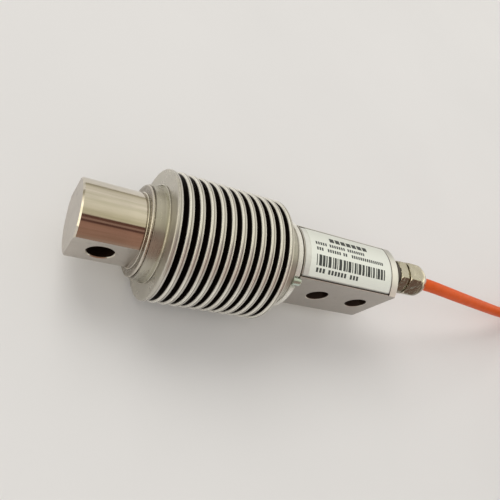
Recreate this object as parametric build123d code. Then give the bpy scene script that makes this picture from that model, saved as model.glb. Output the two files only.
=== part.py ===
from build123d import *
import math
import os

# A weighing load cell of the bellows-sealed bending-beam kind. All sizes are in millimetres.
# Stations run along the cell's axis from the load end; heights are measured from that axis.

# Measuring body: head, beam and fixed block in one turned and milled bar
BODY_LENGTH = 120.0
HEAD_DIAMETER = 24.5
HEAD_FLAT_LENGTH = 19.7
FLAT_TO_FLAT = 20.0
BLOCK_DIAMETER = 32.0
END_CHAMFER = 0.5
HOLE_DIAMETER = 8.3
HOLE_CHAMFER = 0.3
HOLE_INSET = 9.5
MOUNT_HOLE_SPACING = 19.0
SHOULDER_PAST_PLATE = 1.6
SPIGOT_DIAMETER = 27.2
BEAM_HEIGHT = 18.0
BEAM_WIDTH = 16.0
FLEXURE_THICKNESS = 3.4
GAUGE_SPACING = 18.0
WEB_SLOT_HEIGHT = 5.0

# Bellows: a thin tube formed into round-crowned folds, with a cuff at each end
BELLOWS_DIAMETER = 43.5
BELLOWS_WALL = 0.3
FOLD_COUNT = 12
FOLD_PITCH = 3.6
CUFF_BEND = 0.5
LOAD_CUFF_LENGTH = 2.6
FIXED_CUFF_LENGTH = 5.8
PLATE_FROM_SHOULDER = 5.3

# Turned rings that carry the bellows
LOAD_RING_DIAMETER = 30.0
LOAD_RING_SHORT = 0.7
FIXED_RING_SEAT_DIAMETER = 31.2
FIXED_FLANGE_DIAMETER = 32.3
FIXED_FLANGE_WIDTH = 2.0
RING_CHAMFER = 0.3
RING_RIM_WIDTH = 1.0
RING_GROOVE = 0.4
WELD_CLEARANCE = 0.03
SEAM_WIDTH = 0.3
SEAM_DEPTH = 0.7

# Evacuation stub in the fixed ring's flange
STUB_DIAMETER = 2.8
STUB_LENGTH = 6.4
STUB_STAND_OUT = 2.4
STUB_PLACE_RADIUS = 14.0
STUB_ANGLE = 138.5
STUB_DIMPLE = 0.5

# Terminal chamber, its let-in cover and the rating label
CHAMBER_LENGTH = 33.0
CHAMBER_WIDTH = 13.2
CHAMBER_FLOOR = 6.4
CHAMBER_CORNER = 2.0
CHAMBER_END_WALL = 7.0
COVER_THICKNESS = 1.3
COVER_LIP = 0.4
COVER_GAP = 0.3
COVER_CHAMFER = 0.4
COVER_FROM_BLOCK = 0.4
END_RIM_WIDTH = 3.8
LABEL_THICKNESS = 0.12
LABEL_LENGTH = 38.0
LABEL_WIDTH = 17.6
LABEL_END_MARGIN = 0.5

# Strain gauges, their terminals and the compensation board
GAUGE_LENGTH = 8.0
GAUGE_WIDTH = 6.0
GAUGE_THICKNESS = 0.12
TERMINAL_STRIP_LENGTH = 5.0
TERMINAL_STRIP_WIDTH = 9.0
TERMINAL_STRIP_THICKNESS = 0.4
LEAD_DIAMETER = 1.0
LEAD_CLEARANCE = 0.1
LEAD_CHANNEL_DIAMETER = 4.0
LEAD_CHANNEL_HEIGHT = 9.4
# Where the leads turn, in shares of the way from the beam's middle to the spigot
LEAD_TURNS = (0.35, 0.59, 0.79)
LEAD_BEND = 1.2
PAD_THICKNESS = 0.6
BOARD_LENGTH = 24.0
BOARD_WIDTH = 11.0
BOARD_THICKNESS = 1.0
BOARD_FROM_CHAMBER = 3.0
RESISTOR_DIAMETER = 1.8
RESISTOR_LENGTH = 5.0
RESISTOR_PITCH = 4.2
RESISTOR_COUNT = 3
POST_DIAMETER = 0.8
POST_HEIGHT = 1.6
POST_PITCH = 2.4
POST_COUNT = 4
POST_ROW_INSET = 2.0

# Cable gland
GLAND_HEIGHT = 10.8
GLAND_THREAD_DIAMETER = 7.4
THREAD_CLEARANCE = 0.05
GASKET_THICKNESS = 0.8
GASKET_DIAMETER = 11.0
GLAND_HEX = 12.0
GLAND_HEX_LENGTH = 3.7
GLAND_HEX_TURN = 55.0
GLAND_NECK_DIAMETER = 9.8
GLAND_NECK_LENGTH = 6.6
GLAND_BORE_DIAMETER = 5.4
SEAL_SEAT_DIAMETER = 7.8
SEAL_SEAT_DEPTH = 4.0
NUT_GAP = 0.9
NUT_HEX = 12.5
NUT_HEX_LENGTH = 4.2
NUT_LENGTH = 11.0
NUT_NOSE_DIAMETER = 8.8
HEX_CHAMFER = 0.7
SEAL_LIP_DIAMETER = 6.8
SEAL_STAND_OUT = 1.0
SEAL_FLARE = 0.5
CLAMP_LENGTH = 3.0
CLAMP_WALL = 0.7

# Cable and what is on it
CABLE_DIAMETER = 5.2
CABLE_CLEARANCE = 0.1
CORE_DIAMETER = 1.1
CORE_CLEARANCE = 0.1
TAIL_BEND = 5.0
ROUTE_FILLET_SHARE = 0.45
# Route of the cable in the part's frame, from inside the gland to the hank, chosen by eye
ROUTE = [
    (52.35, 0.0, 32.55),
    (70.85, 0.0, 32.55),
    (91.65, 0.4, 28.65),
    (119.85, 1.8, 22.3),
    (156.0, 4.64, 12.92),
    (175.5, 9.2, 7.6),
    (191.0, 14.8, 3.9),
    (206.0, 14.8, 3.9),
]

# Hank: the rest of the cable in oval turns, two lanes wide
HANK_LAYERS = 6
HANK_INNER_RADIUS = 15.6
HANK_STRAIGHT = 74.0
HANK_LEAD_IN = 15.2
HANK_EDGE_ROUND = 2.4
JACKET_END_RUN = 12.0
TIE_WIDTH = 4.8
TIE_THICKNESS = 1.2
TIE_CLEARANCE = 0.1
TIE_HEAD = 6.0
TIE_HEAD_DEPTH = 4.5
SLEEVE_LENGTH = 14.0
TAIL_LENGTH = 44.0
TAIL_STEP = 3.0
TAIL_SPREAD = 1.35
TAIL_SHIFT = -0.1
FERRULE_LENGTH = 8.0
FERRULE_DIAMETER = 1.3

# Stations along the axis that follow from the sizes above
head_radius = HEAD_DIAMETER / 2
block_radius = BLOCK_DIAMETER / 2
half_flat = FLAT_TO_FLAT / 2
bellows_radius = BELLOWS_DIAMETER / 2
fold_radius = FOLD_PITCH / 4
first_plate = HEAD_FLAT_LENGTH + PLATE_FROM_SHOULDER
last_plate = first_plate + (FOLD_COUNT - 1) * FOLD_PITCH + 2 * fold_radius
flange_start = last_plate + FIXED_CUFF_LENGTH
flange_end = flange_start + FIXED_FLANGE_WIDTH
block_start = flange_end + SEAM_WIDTH
shoulder_end = first_plate + SHOULDER_PAST_PLATE
spigot_start = last_plate + SHOULDER_PAST_PLATE / 2
beam_middle = (shoulder_end + spigot_start) / 2
gauge_stations = [beam_middle - GAUGE_SPACING / 2, beam_middle + GAUGE_SPACING / 2]
mount_stations = [BODY_LENGTH - HOLE_INSET - MOUNT_HOLE_SPACING, BODY_LENGTH - HOLE_INSET]
cover_start = block_start + COVER_FROM_BLOCK
cover_end = BODY_LENGTH - END_RIM_WIDTH
cover_seat_radius = block_radius - COVER_THICKNESS
chamber_end = BODY_LENGTH - CHAMBER_END_WALL
chamber_start = chamber_end - CHAMBER_LENGTH
board_start = chamber_start + BOARD_FROM_CHAMBER
board_bottom = CHAMBER_FLOOR + PAD_THICKNESS
board_top = board_bottom + BOARD_THICKNESS
gland_hex_start = BODY_LENGTH + GASKET_THICKNESS
gland_hex_end = gland_hex_start + GLAND_HEX_LENGTH
gland_neck_end = gland_hex_end + GLAND_NECK_LENGTH
seal_start = gland_neck_end - SEAL_SEAT_DEPTH
nut_start = gland_hex_end + NUT_GAP
nut_end = nut_start + NUT_LENGTH
overall_length = nut_end + SEAL_STAND_OUT
cable_radius = CABLE_DIAMETER / 2
core_radius = CORE_DIAMETER / 2

# The cell lies on its bellows; the part's origin is under the middle of its length
CELL_PLACE = Pos(-overall_length / 2, 0, bellows_radius)


def turned(points):
    """A solid of revolution about the cell's axis from (station, radius) points."""
    return revolve(Plane.XZ * make_face(Polyline(*points, close=True)), Axis.X)


def rod(radius, start, end, y=0.0, z=0.0):
    """A round rod along the axis direction."""
    return extrude(Plane.YZ.offset(start) * Pos(y, z) * Circle(radius), end - start)


def block(start, end, y_low, y_high, z_low, z_high):
    """A rectangular block between two corners."""
    middle = Pos((start + end) / 2, (y_low + y_high) / 2, (z_low + z_high) / 2)
    return middle * Box(end - start, y_high - y_low, z_high - z_low)


def cross_hole(station):
    """The tool for a through hole square to the flats, with a chamfered mouth on each."""
    radius = HOLE_DIAMETER / 2
    past = 1.0
    wide = radius + HOLE_CHAMFER + past
    outline = [
        (0, -half_flat - past),
        (wide, -half_flat - past),
        (radius, -half_flat + HOLE_CHAMFER),
        (radius, half_flat - HOLE_CHAMFER),
        (wide, half_flat + past),
        (0, half_flat + past),
    ]
    tool = revolve(make_face(Polyline(*outline, close=True)), Axis.Y)
    return Pos(station, 0, 0) * tool


def route_radii(points):
    """The arc radius at each inner point of a route, from its two runs and its turn."""
    radii = []
    for before, corner, after in zip(points, points[1:], points[2:]):
        run_in = Vector(*corner) - Vector(*before)
        run_out = Vector(*after) - Vector(*corner)
        half_turn = math.radians(run_in.get_angle(run_out)) / 2
        shorter = min(run_in.length, run_out.length)
        radii.append(ROUTE_FILLET_SHARE * shorter / math.tan(half_turn))
    return radii


def wire_along(points, bend, diameter):
    """A round wire along straight runs joined by tangent arcs, none wider than bend."""
    path = FilletPolyline(*points, radius=[min(bend, radius) for radius in route_radii(points)])
    start = Plane(origin=path @ 0, z_dir=path % 0)
    return sweep(start * Circle(diameter / 2), path=path)


def measuring_body():
    """Head, double bending beam and fixed block, one piece of stainless bar."""
    seam_radius = block_radius - SEAM_DEPTH
    spigot = SPIGOT_DIAMETER / 2
    bar = turned([
        (0, 0),
        (0, head_radius - END_CHAMFER),
        (END_CHAMFER, head_radius),
        (spigot_start, head_radius),
        (spigot_start, spigot),
        (flange_end, spigot),
        (flange_end, seam_radius),
        (block_start, seam_radius),
        (block_start, block_radius),
        (BODY_LENGTH - END_CHAMFER, block_radius),
        (BODY_LENGTH, block_radius - END_CHAMFER),
        (BODY_LENGTH, 0),
    ])
    for side in (-1, 1):
        y_low, y_high = sorted((side * half_flat, side * 2 * block_radius))
        bar -= block(-1, HEAD_FLAT_LENGTH, y_low, y_high, -block_radius, block_radius)
        bar -= block(flange_end, BODY_LENGTH + 1, y_low, y_high, -2 * block_radius, 2 * block_radius)
        y_low, y_high = sorted((side * BEAM_HEIGHT / 2, side * block_radius))
        bar -= block(shoulder_end, spigot_start, y_low, y_high, -block_radius, block_radius)
        z_low, z_high = sorted((side * BEAM_WIDTH / 2, side * block_radius))
        bar -= block(shoulder_end, spigot_start, -block_radius, block_radius, z_low, z_high)
    bar -= beam_window()
    for station in [HOLE_INSET, *mount_stations]:
        bar -= cross_hole(station)
    bar -= cover_recess()
    bar -= chamber()
    channel = LEAD_CHANNEL_DIAMETER / 2
    bar -= rod(channel, spigot_start - 1, chamber_start + 1, 0, LEAD_CHANNEL_HEIGHT)
    port = GLAND_THREAD_DIAMETER / 2 + THREAD_CLEARANCE
    bar -= rod(port, chamber_end - 1, BODY_LENGTH + 1, 0, GLAND_HEIGHT)
    bar -= stub_hole(spigot_start - 1, flange_end + STUB_STAND_OUT)
    return bar


def beam_window():
    """The dumb-bell opening across the beam that leaves four thin flexures under the gauges."""
    radius = BEAM_HEIGHT / 2 - FLEXURE_THICKNESS
    outline = Pos(beam_middle, 0) * Rectangle(GAUGE_SPACING, WEB_SLOT_HEIGHT)
    for station in gauge_stations:
        outline += Pos(station, 0) * Circle(radius)
    return extrude(Plane.XY.offset(-BEAM_WIDTH) * outline, 2 * BEAM_WIDTH)


def cover_recess():
    """The tool for the shallow curved recess that takes the chamber's cover."""
    ring = rod(2 * block_radius, cover_start, cover_end) - rod(cover_seat_radius, cover_start, cover_end)
    inside = half_flat - COVER_LIP
    return ring & block(cover_start, cover_end, -inside, inside, 0, 2 * block_radius)


def chamber():
    """The tool for the terminal chamber under the cover."""
    outline = RectangleRounded(CHAMBER_LENGTH, CHAMBER_WIDTH, CHAMBER_CORNER)
    place = Plane.XY.offset(CHAMBER_FLOOR) * Pos((chamber_start + chamber_end) / 2, 0)
    return extrude(place * outline, block_radius)


def stub_centre():
    """Where the evacuation stub stands on the flange, as (y, z)."""
    angle = math.radians(STUB_ANGLE)
    return STUB_PLACE_RADIUS * math.cos(angle), STUB_PLACE_RADIUS * math.sin(angle)


def stub_hole(start, end):
    """The tool for the stub's hole, a weld clearance wider than the stub."""
    y, z = stub_centre()
    return rod(STUB_DIAMETER / 2 + WELD_CLEARANCE, start, end, y, z)


def fold_edges(inset):
    """The bellows' line from cuff to cuff, moved inwards from its outer skin by inset."""
    crown = fold_radius - inset
    root = fold_radius + inset
    load_cuff = LOAD_RING_DIAMETER / 2 + WELD_CLEARANCE + BELLOWS_WALL - inset
    fixed_cuff = FIXED_RING_SEAT_DIAMETER / 2 + WELD_CLEARANCE + BELLOWS_WALL - inset
    bend = CUFF_BEND + inset
    front = first_plate + inset
    rear = last_plate - inset
    corner = math.sqrt(0.5)
    top = bellows_radius - fold_radius
    bottom = LOAD_RING_DIAMETER / 2 + WELD_CLEARANCE + BELLOWS_WALL + fold_radius
    start = (first_plate - LOAD_CUFF_LENGTH, load_cuff)
    bend_centre = (first_plate - CUFF_BEND, load_cuff + bend)
    edges = [Line(start, (bend_centre[0], load_cuff))]
    edges.append(ThreePointArc(
        (bend_centre[0], load_cuff),
        (bend_centre[0] + bend * corner, bend_centre[1] - bend * corner),
        (front, bend_centre[1]),
    ))
    place = (front, bend_centre[1])
    for fold in range(FOLD_COUNT):
        middle = first_plate + fold_radius + fold * FOLD_PITCH
        edges.append(Line(place, (middle - crown, top)))
        edges.append(ThreePointArc((middle - crown, top), (middle, top + crown), (middle + crown, top)))
        place = (middle + crown, top)
        if fold < FOLD_COUNT - 1:
            valley = middle + FOLD_PITCH / 2
            edges.append(Line(place, (valley - root, bottom)))
            edges.append(ThreePointArc((valley - root, bottom), (valley, bottom - root), (valley + root, bottom)))
            place = (valley + root, bottom)
    bend_centre = (last_plate + CUFF_BEND, fixed_cuff + bend)
    edges.append(Line(place, (rear, bend_centre[1])))
    edges.append(ThreePointArc(
        (rear, bend_centre[1]),
        (bend_centre[0] - bend * corner, bend_centre[1] - bend * corner),
        (bend_centre[0], fixed_cuff),
    ))
    end = (flange_start - WELD_CLEARANCE, fixed_cuff)
    edges.append(Line((bend_centre[0], fixed_cuff), end))
    return edges, start, end


def bellows():
    """The convoluted bellows, a wall of even thickness turned about the axis."""
    outer, outer_start, outer_end = fold_edges(0.0)
    inner, inner_start, inner_end = fold_edges(BELLOWS_WALL)
    rims = [Line(outer_start, inner_start), Line(outer_end, inner_end)]
    section = make_face([*outer, *inner, *rims])
    return revolve(Plane.XZ * section, Axis.X)


def load_end_ring():
    """The grooved ring on the head's round shoulder; the bellows' first cuff is welded over it."""
    bore = head_radius + WELD_CLEARANCE
    outside = LOAD_RING_DIAMETER / 2
    end = first_plate - LOAD_RING_SHORT
    groove = HEAD_FLAT_LENGTH + RING_RIM_WIDTH
    return turned([
        (HEAD_FLAT_LENGTH, bore),
        (HEAD_FLAT_LENGTH, outside - RING_CHAMFER),
        (HEAD_FLAT_LENGTH + RING_CHAMFER, outside),
        (groove, outside),
        (groove, outside - RING_GROOVE),
        (groove + RING_GROOVE, outside - RING_GROOVE),
        (groove + RING_GROOVE, outside),
        (end, outside),
        (end, bore),
    ])


def fixed_end_ring():
    """The flanged ring on the fixed block's spigot; the bellows' last cuff is welded over it."""
    bore = SPIGOT_DIAMETER / 2 + WELD_CLEARANCE
    seat = FIXED_RING_SEAT_DIAMETER / 2
    outside = FIXED_FLANGE_DIAMETER / 2
    start = last_plate + LOAD_RING_SHORT
    ring = turned([
        (start, bore),
        (start, seat),
        (flange_start, seat),
        (flange_start, outside - RING_CHAMFER),
        (flange_start + RING_CHAMFER, outside),
        (flange_end, outside),
        (flange_end, bore),
    ])
    return ring - stub_hole(start - 1, flange_end + 1)


def evacuation_stub():
    """The short pin that closes the bellows' evacuation hole, with a dimpled end."""
    y, z = stub_centre()
    end = flange_end + STUB_STAND_OUT
    pin = rod(STUB_DIAMETER / 2, end - STUB_LENGTH, end, y, z)
    pin = chamfer(pin.edges().sort_by(Axis.X)[-1], STUB_DIAMETER / 10)
    dimple = Pos(end + STUB_DIMPLE, y, z) * Sphere(2 * STUB_DIMPLE)
    return pin - dimple


def curved_sheet(inner, outer, start, end, half_width):
    """A part of a tube's wall on the label side, as wide as half_width each way."""
    ring = rod(outer, start, end) - rod(inner, start, end)
    return ring & block(start, end, -half_width, half_width, 0, 2 * outer)


def terminal_cover():
    """The curved plate let into the block over the terminal chamber."""
    start = cover_start + COVER_GAP
    end = cover_end - COVER_GAP
    half_width = half_flat - COVER_LIP - COVER_GAP
    plate = curved_sheet(cover_seat_radius + WELD_CLEARANCE, block_radius, start, end, half_width)
    top = sorted(plate.edges().filter_by(Axis.X), key=lambda edge: edge.center().Z)[-2:]
    return chamfer(top, COVER_CHAMFER)


def rating_label():
    """The thin label laid round the cover."""
    end = cover_end - COVER_GAP - LABEL_END_MARGIN
    inner = block_radius
    return curved_sheet(inner, inner + LABEL_THICKNESS, end - LABEL_LENGTH, end, LABEL_WIDTH / 2)


def strain_gauge(station, side):
    """One foil gauge on a flexure; side is -1 on the front face and 1 on the back."""
    low, high = sorted((side * BEAM_HEIGHT / 2, side * (BEAM_HEIGHT / 2 + GAUGE_THICKNESS)))
    half = GAUGE_LENGTH / 2
    return block(station - half, station + half, low, high, -GAUGE_WIDTH / 2, GAUGE_WIDTH / 2)


def terminal_strip(side):
    """The solder strip between the two gauges of one face."""
    face = side * BEAM_HEIGHT / 2
    low, high = sorted((face, face + side * TERMINAL_STRIP_THICKNESS))
    half = TERMINAL_STRIP_LENGTH / 2
    width = TERMINAL_STRIP_WIDTH / 2
    return block(beam_middle - half, beam_middle + half, low, high, -width, width)


def gauge_leads(side):
    """The lead bundle from one terminal strip round the beam, through the channel to the board."""
    radius = LEAD_DIAMETER / 2
    out = side * (BEAM_HEIGHT / 2 + TERMINAL_STRIP_THICKNESS + LEAD_CLEARANCE + radius)
    lane = side * (radius + LEAD_CLEARANCE)
    over = BEAM_WIDTH / 2 + LEAD_CLEARANCE + radius
    first_post = board_start + POST_ROW_INSET
    landing = board_top + POST_HEIGHT + LEAD_CLEARANCE + radius
    reach = spigot_start - beam_middle
    rise, crest, dip = (beam_middle + reach * share for share in LEAD_TURNS)
    points = [
        (beam_middle, out, 0.0),
        (rise, out, LEAD_DIAMETER * 1.5),
        (crest, out * 0.98, over + 0.4),
        (dip, lane * 3, LEAD_CHANNEL_HEIGHT + 0.4),
        (spigot_start - 0.5, lane * 1.05, LEAD_CHANNEL_HEIGHT),
        (chamber_start - 2.0, lane, LEAD_CHANNEL_HEIGHT + 0.1),
        (first_post, lane * 2, landing),
    ]
    return wire_along(points, LEAD_BEND, LEAD_DIAMETER)


def board_pad():
    """The insulating pad between the chamber floor and the board."""
    end = board_start + BOARD_LENGTH
    return block(board_start, end, -BOARD_WIDTH / 2, BOARD_WIDTH / 2, CHAMBER_FLOOR, board_bottom)


def compensation_board():
    """The small board that carries the trimming resistors and solder posts."""
    end = board_start + BOARD_LENGTH
    return block(board_start, end, -BOARD_WIDTH / 2, BOARD_WIDTH / 2, board_bottom, board_top)


def trim_resistor(number):
    """One trimming resistor across the board, with a collar at each end."""
    radius = RESISTOR_DIAMETER / 2
    station = board_start + BOARD_LENGTH / 2 + (number - (RESISTOR_COUNT - 1) / 2) * RESISTOR_PITCH
    half = RESISTOR_LENGTH / 2
    outline = [
        (0, -half),
        (radius, -half),
        (radius, -half * 0.6),
        (radius * 0.85, -half * 0.5),
        (radius * 0.85, half * 0.5),
        (radius, half * 0.6),
        (radius, half),
        (0, half),
    ]
    body = revolve(make_face(Polyline(*outline, close=True)), Axis.Y)
    return Pos(station, 0, board_top + radius) * body


def solder_posts(station):
    """A row of solder posts across the board."""
    posts = []
    for number in range(POST_COUNT):
        y = (number - (POST_COUNT - 1) / 2) * POST_PITCH
        posts.append(Pos(station, y, board_top + POST_HEIGHT / 2) * Cylinder(POST_DIAMETER / 2, POST_HEIGHT))
    return Compound(children=posts)


def hexagon(across_flats, start, end, round_start=False, round_end=False):
    """A hexagonal prism along the gland's axis, its corners turned off at the named ends."""
    corner = across_flats / math.sqrt(3)
    place = Plane.YZ.offset(start) * Pos(0, GLAND_HEIGHT)
    prism = extrude(place * Rot(0, 0, GLAND_HEX_TURN) * RegularPolygon(corner, 6), end - start)
    low = corner - HEX_CHAMFER
    outline = [(start, 0)]
    outline += [(start, low), (start + HEX_CHAMFER / 2, corner)] if round_start else [(start, corner)]
    outline += [(end - HEX_CHAMFER / 2, corner), (end, low)] if round_end else [(end, corner)]
    outline += [(end, 0)]
    return prism & (Pos(0, 0, GLAND_HEIGHT) * turned(outline))


def gland_tube(radius, start, end):
    """A rod on the gland's axis."""
    return rod(radius, start, end, 0, GLAND_HEIGHT)


def gland_gasket():
    """The flat sealing ring under the gland's hexagon."""
    hole = GLAND_THREAD_DIAMETER / 2 + THREAD_CLEARANCE
    return gland_tube(GASKET_DIAMETER / 2, BODY_LENGTH, gland_hex_start) - gland_tube(
        hole, BODY_LENGTH - 1, gland_hex_start + 1
    )


def gland_body():
    """The gland's lower part: screwed shank, hexagon and neck with the seal's seat."""
    body = gland_tube(GLAND_THREAD_DIAMETER / 2, chamber_end, gland_hex_start)
    body += hexagon(GLAND_HEX, gland_hex_start, gland_hex_end, True, True)
    body += gland_tube(GLAND_NECK_DIAMETER / 2, gland_hex_end, gland_neck_end)
    body -= gland_tube(GLAND_BORE_DIAMETER / 2, chamber_end - 1, gland_neck_end + 1)
    body -= gland_tube(SEAL_SEAT_DIAMETER / 2, seal_start, gland_neck_end + 1)
    return body


def gland_seal():
    """The rubber bush round the cable, with a lip that shows past the nut."""
    outside = SEAL_SEAT_DIAMETER / 2 - CABLE_CLEARANCE
    lip = SEAL_LIP_DIAMETER / 2
    bore = cable_radius + CABLE_CLEARANCE
    seal = turned([
        (seal_start, bore),
        (seal_start, outside),
        (gland_neck_end, outside),
        (gland_neck_end + CLAMP_LENGTH, lip),
        (overall_length - SEAL_FLARE, lip),
        (overall_length, lip - SEAL_FLARE),
        (overall_length, bore + SEAL_FLARE),
        (nut_end - SEAL_FLARE, bore + SEAL_FLARE / 2),
        (gland_neck_end, bore),
    ])
    return Pos(0, 0, GLAND_HEIGHT) * seal


def gland_clamp():
    """The split ring that the nut presses on the seal."""
    seal_outside = SEAL_SEAT_DIAMETER / 2
    start = gland_neck_end + THREAD_CLEARANCE
    outer = seal_outside + CLAMP_WALL
    ring = turned([
        (start, seal_outside),
        (start, outer),
        (start + CLAMP_LENGTH * 0.6, outer),
        (start + CLAMP_LENGTH, seal_outside + CLAMP_WALL / 2),
        (start + CLAMP_LENGTH, seal_outside),
    ])
    split = block(start - 1, start + CLAMP_LENGTH + 1, 0, 2 * outer, -CLAMP_WALL / 2, CLAMP_WALL / 2)
    return Pos(0, 0, GLAND_HEIGHT) * (ring - split)


def gland_nut():
    """The domed hexagonal nut."""
    thread = GLAND_NECK_DIAMETER / 2 + THREAD_CLEARANCE
    hex_end = nut_start + NUT_HEX_LENGTH
    corner = NUT_HEX / math.sqrt(3)
    nose = NUT_NOSE_DIAMETER / 2
    mouth = SEAL_LIP_DIAMETER / 2 + CABLE_CLEARANCE
    dome_outline = [
        Line((nut_start, 0), (nut_start, corner - HEX_CHAMFER)),
        Line((nut_start, corner - HEX_CHAMFER), (nut_start + HEX_CHAMFER / 2, corner)),
        Line((nut_start + HEX_CHAMFER / 2, corner), (hex_end, corner)),
        RadiusArc((hex_end, corner), (nut_end, nose), NUT_LENGTH),
        Line((nut_end, nose), (nut_end, 0)),
        Line((nut_end, 0), (nut_start, 0)),
    ]
    lift = Pos(0, 0, GLAND_HEIGHT)
    dome = lift * revolve(Plane.XZ * make_face(dome_outline), Axis.X)
    nut = hexagon(NUT_HEX, nut_start, nut_end) & dome
    cavity_end = nut_end - NUT_GAP
    clamp_end = gland_neck_end + CLAMP_LENGTH + 2 * THREAD_CLEARANCE
    inside = turned([
        (nut_start - 1, 0),
        (nut_start - 1, thread),
        (clamp_end, thread),
        (cavity_end, mouth),
        (nut_end + 1, mouth),
        (nut_end + 1, 0),
    ])
    return nut - lift * inside


def cable():
    """The free stretch of cable from inside the gland to the hank."""
    radii = route_radii(ROUTE)
    path = FilletPolyline(*ROUTE, radius=radii)
    start = Plane(origin=path @ 0, z_dir=path % 0)
    tube = sweep(start * Circle(cable_radius), path=path)
    section = math.pi * cable_radius**2
    print("cable radii:", [round(radius, 1) for radius in radii])
    print("cable length:", round(path.length, 1), "volume share:", round(tube.volume / section / path.length, 5))
    return tube


def hank_frame():
    """The hank's near and far turning centres and its middle line, from the route's end."""
    entry = Vector(*ROUTE[-1])
    near = entry.X + HANK_LEAD_IN
    middle = entry.Y - HANK_INNER_RADIUS - CABLE_DIAMETER
    return near, near + HANK_STRAIGHT, middle, entry.Z - cable_radius


def stadium(radius, near, far, middle):
    """The outline of an oval round the two turning centres."""
    ends = Pos(near, middle) * Circle(radius) + Pos(far, middle) * Circle(radius)
    return ends + Pos((near + far) / 2, middle) * Rectangle(far - near, 2 * radius)


def cable_hank():
    """The outer shape of the tied oval turns, with the straight lead-in that the cable meets."""
    near, far, middle, bottom = hank_frame()
    inner = HANK_INNER_RADIUS - cable_radius
    lane_edge = HANK_INNER_RADIUS + cable_radius
    outer = HANK_INNER_RADIUS + CABLE_DIAMETER + cable_radius
    height = HANK_LAYERS * CABLE_DIAMETER
    ring = stadium(outer, near, far, middle) - stadium(inner, near, far, middle)
    hank = extrude(Plane.XY.offset(bottom) * ring, height)
    rims = hank.edges().filter_by(lambda edge: abs(edge.center().Z - bottom) < 0.01)
    rims += hank.edges().filter_by(lambda edge: abs(edge.center().Z - bottom - height) < 0.01)
    hank = fillet(rims, HANK_EDGE_ROUND)
    past = outer + 1
    lane = stadium(past, near, far, middle) - stadium(lane_edge, near, far, middle)
    jacket_end = far - JACKET_END_RUN
    slot_part = Pos((near - past + jacket_end) / 2, middle - past / 2) * Rectangle(
        jacket_end - near + past, past
    )
    loop_part = Pos(near - past / 2, middle) * Rectangle(past, 2 * past)
    top_layer = bottom + height - CABLE_DIAMETER
    slot = extrude(Plane.XY.offset(top_layer) * (lane & (slot_part + loop_part)), 2 * CABLE_DIAMETER)
    hank -= slot
    entry = Vector(*ROUTE[-1])
    hank += rod(cable_radius, entry.X, near + 1, entry.Y, entry.Z)
    return hank


def hank_tie(station, side):
    """A nylon tie round one side of the hank, its head inside the oval."""
    near, far, middle, bottom = hank_frame()
    inner = HANK_INNER_RADIUS - cable_radius - TIE_CLEARANCE
    outer = HANK_INNER_RADIUS + CABLE_DIAMETER + cable_radius + TIE_CLEARANCE
    height = HANK_LAYERS * CABLE_DIAMETER + 2 * TIE_CLEARANCE
    centre = Pos(middle + side * (inner + outer) / 2, bottom - TIE_CLEARANCE + height / 2)
    corner = HANK_EDGE_ROUND
    outside = RectangleRounded(
        outer - inner + 2 * TIE_THICKNESS, height + 2 * TIE_THICKNESS, corner + TIE_THICKNESS
    )
    outline = centre * (outside - RectangleRounded(outer - inner, height, corner))
    strap = extrude(Plane.YZ.offset(station - TIE_WIDTH / 2) * outline, TIE_WIDTH)
    head_y = middle + side * (inner - TIE_THICKNESS - TIE_HEAD_DEPTH / 2)
    head_z = bottom + height / 2
    head = Pos(station, head_y, head_z) * Box(TIE_HEAD, TIE_HEAD_DEPTH + TIE_THICKNESS, TIE_HEAD)
    return strap + head


def tail_start():
    """Where the jacket ends on the hank, as its station, lane and the height of the layer below."""
    near, far, middle, bottom = hank_frame()
    floor = bottom + (HANK_LAYERS - 1) * CABLE_DIAMETER
    return far - JACKET_END_RUN, middle - HANK_INNER_RADIUS - CABLE_DIAMETER, floor


def jacket_sleeve():
    """The shrunk sleeve at the jacket's end, tapered down to the cores."""
    station, lane, floor = tail_start()
    radius = cable_radius - CABLE_CLEARANCE
    taper = SLEEVE_LENGTH / 3
    small = radius * 0.75
    outline = [
        (station - SLEEVE_LENGTH, 0),
        (station - SLEEVE_LENGTH, small),
        (station - taper, radius),
        (station, radius),
        (station, 0),
    ]
    return Pos(0, lane, floor + cable_radius) * turned(outline)


def tail(number):
    """One bared core from the sleeve to its ferrule, lying on the layer below."""
    station, lane, floor = tail_start()
    start = station - SLEEVE_LENGTH - 2 * CORE_CLEARANCE
    lane += TAIL_SHIFT
    offset = core_radius + CORE_CLEARANCE
    upper = number in (1, 2)
    side = -1 if number < 2 else 1
    centre = floor + cable_radius
    spread = (number - 1.5) * TAIL_SPREAD
    low = floor + FERRULE_DIAMETER / 2 + CORE_CLEARANCE
    reach = TAIL_LENGTH - SLEEVE_LENGTH - TAIL_STEP * number
    points = [
        (start, lane - TAIL_SHIFT + side * offset, centre + (offset if upper else -offset)),
        (start - reach * 0.35, lane + spread, low + (3.5 * offset if upper else 1.2 * offset)),
        (start - reach * 0.7, lane + spread, low),
        (start - reach, lane + spread, low),
    ]
    return wire_along(points, TAIL_BEND, CORE_DIAMETER), points[-1]


def ferrules(ends):
    """Crimped ferrules on the bared cores."""
    pins = [rod(FERRULE_DIAMETER / 2, end[0] - FERRULE_LENGTH, end[0], end[1], end[2]) for end in ends]
    return Compound(children=pins)


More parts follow.
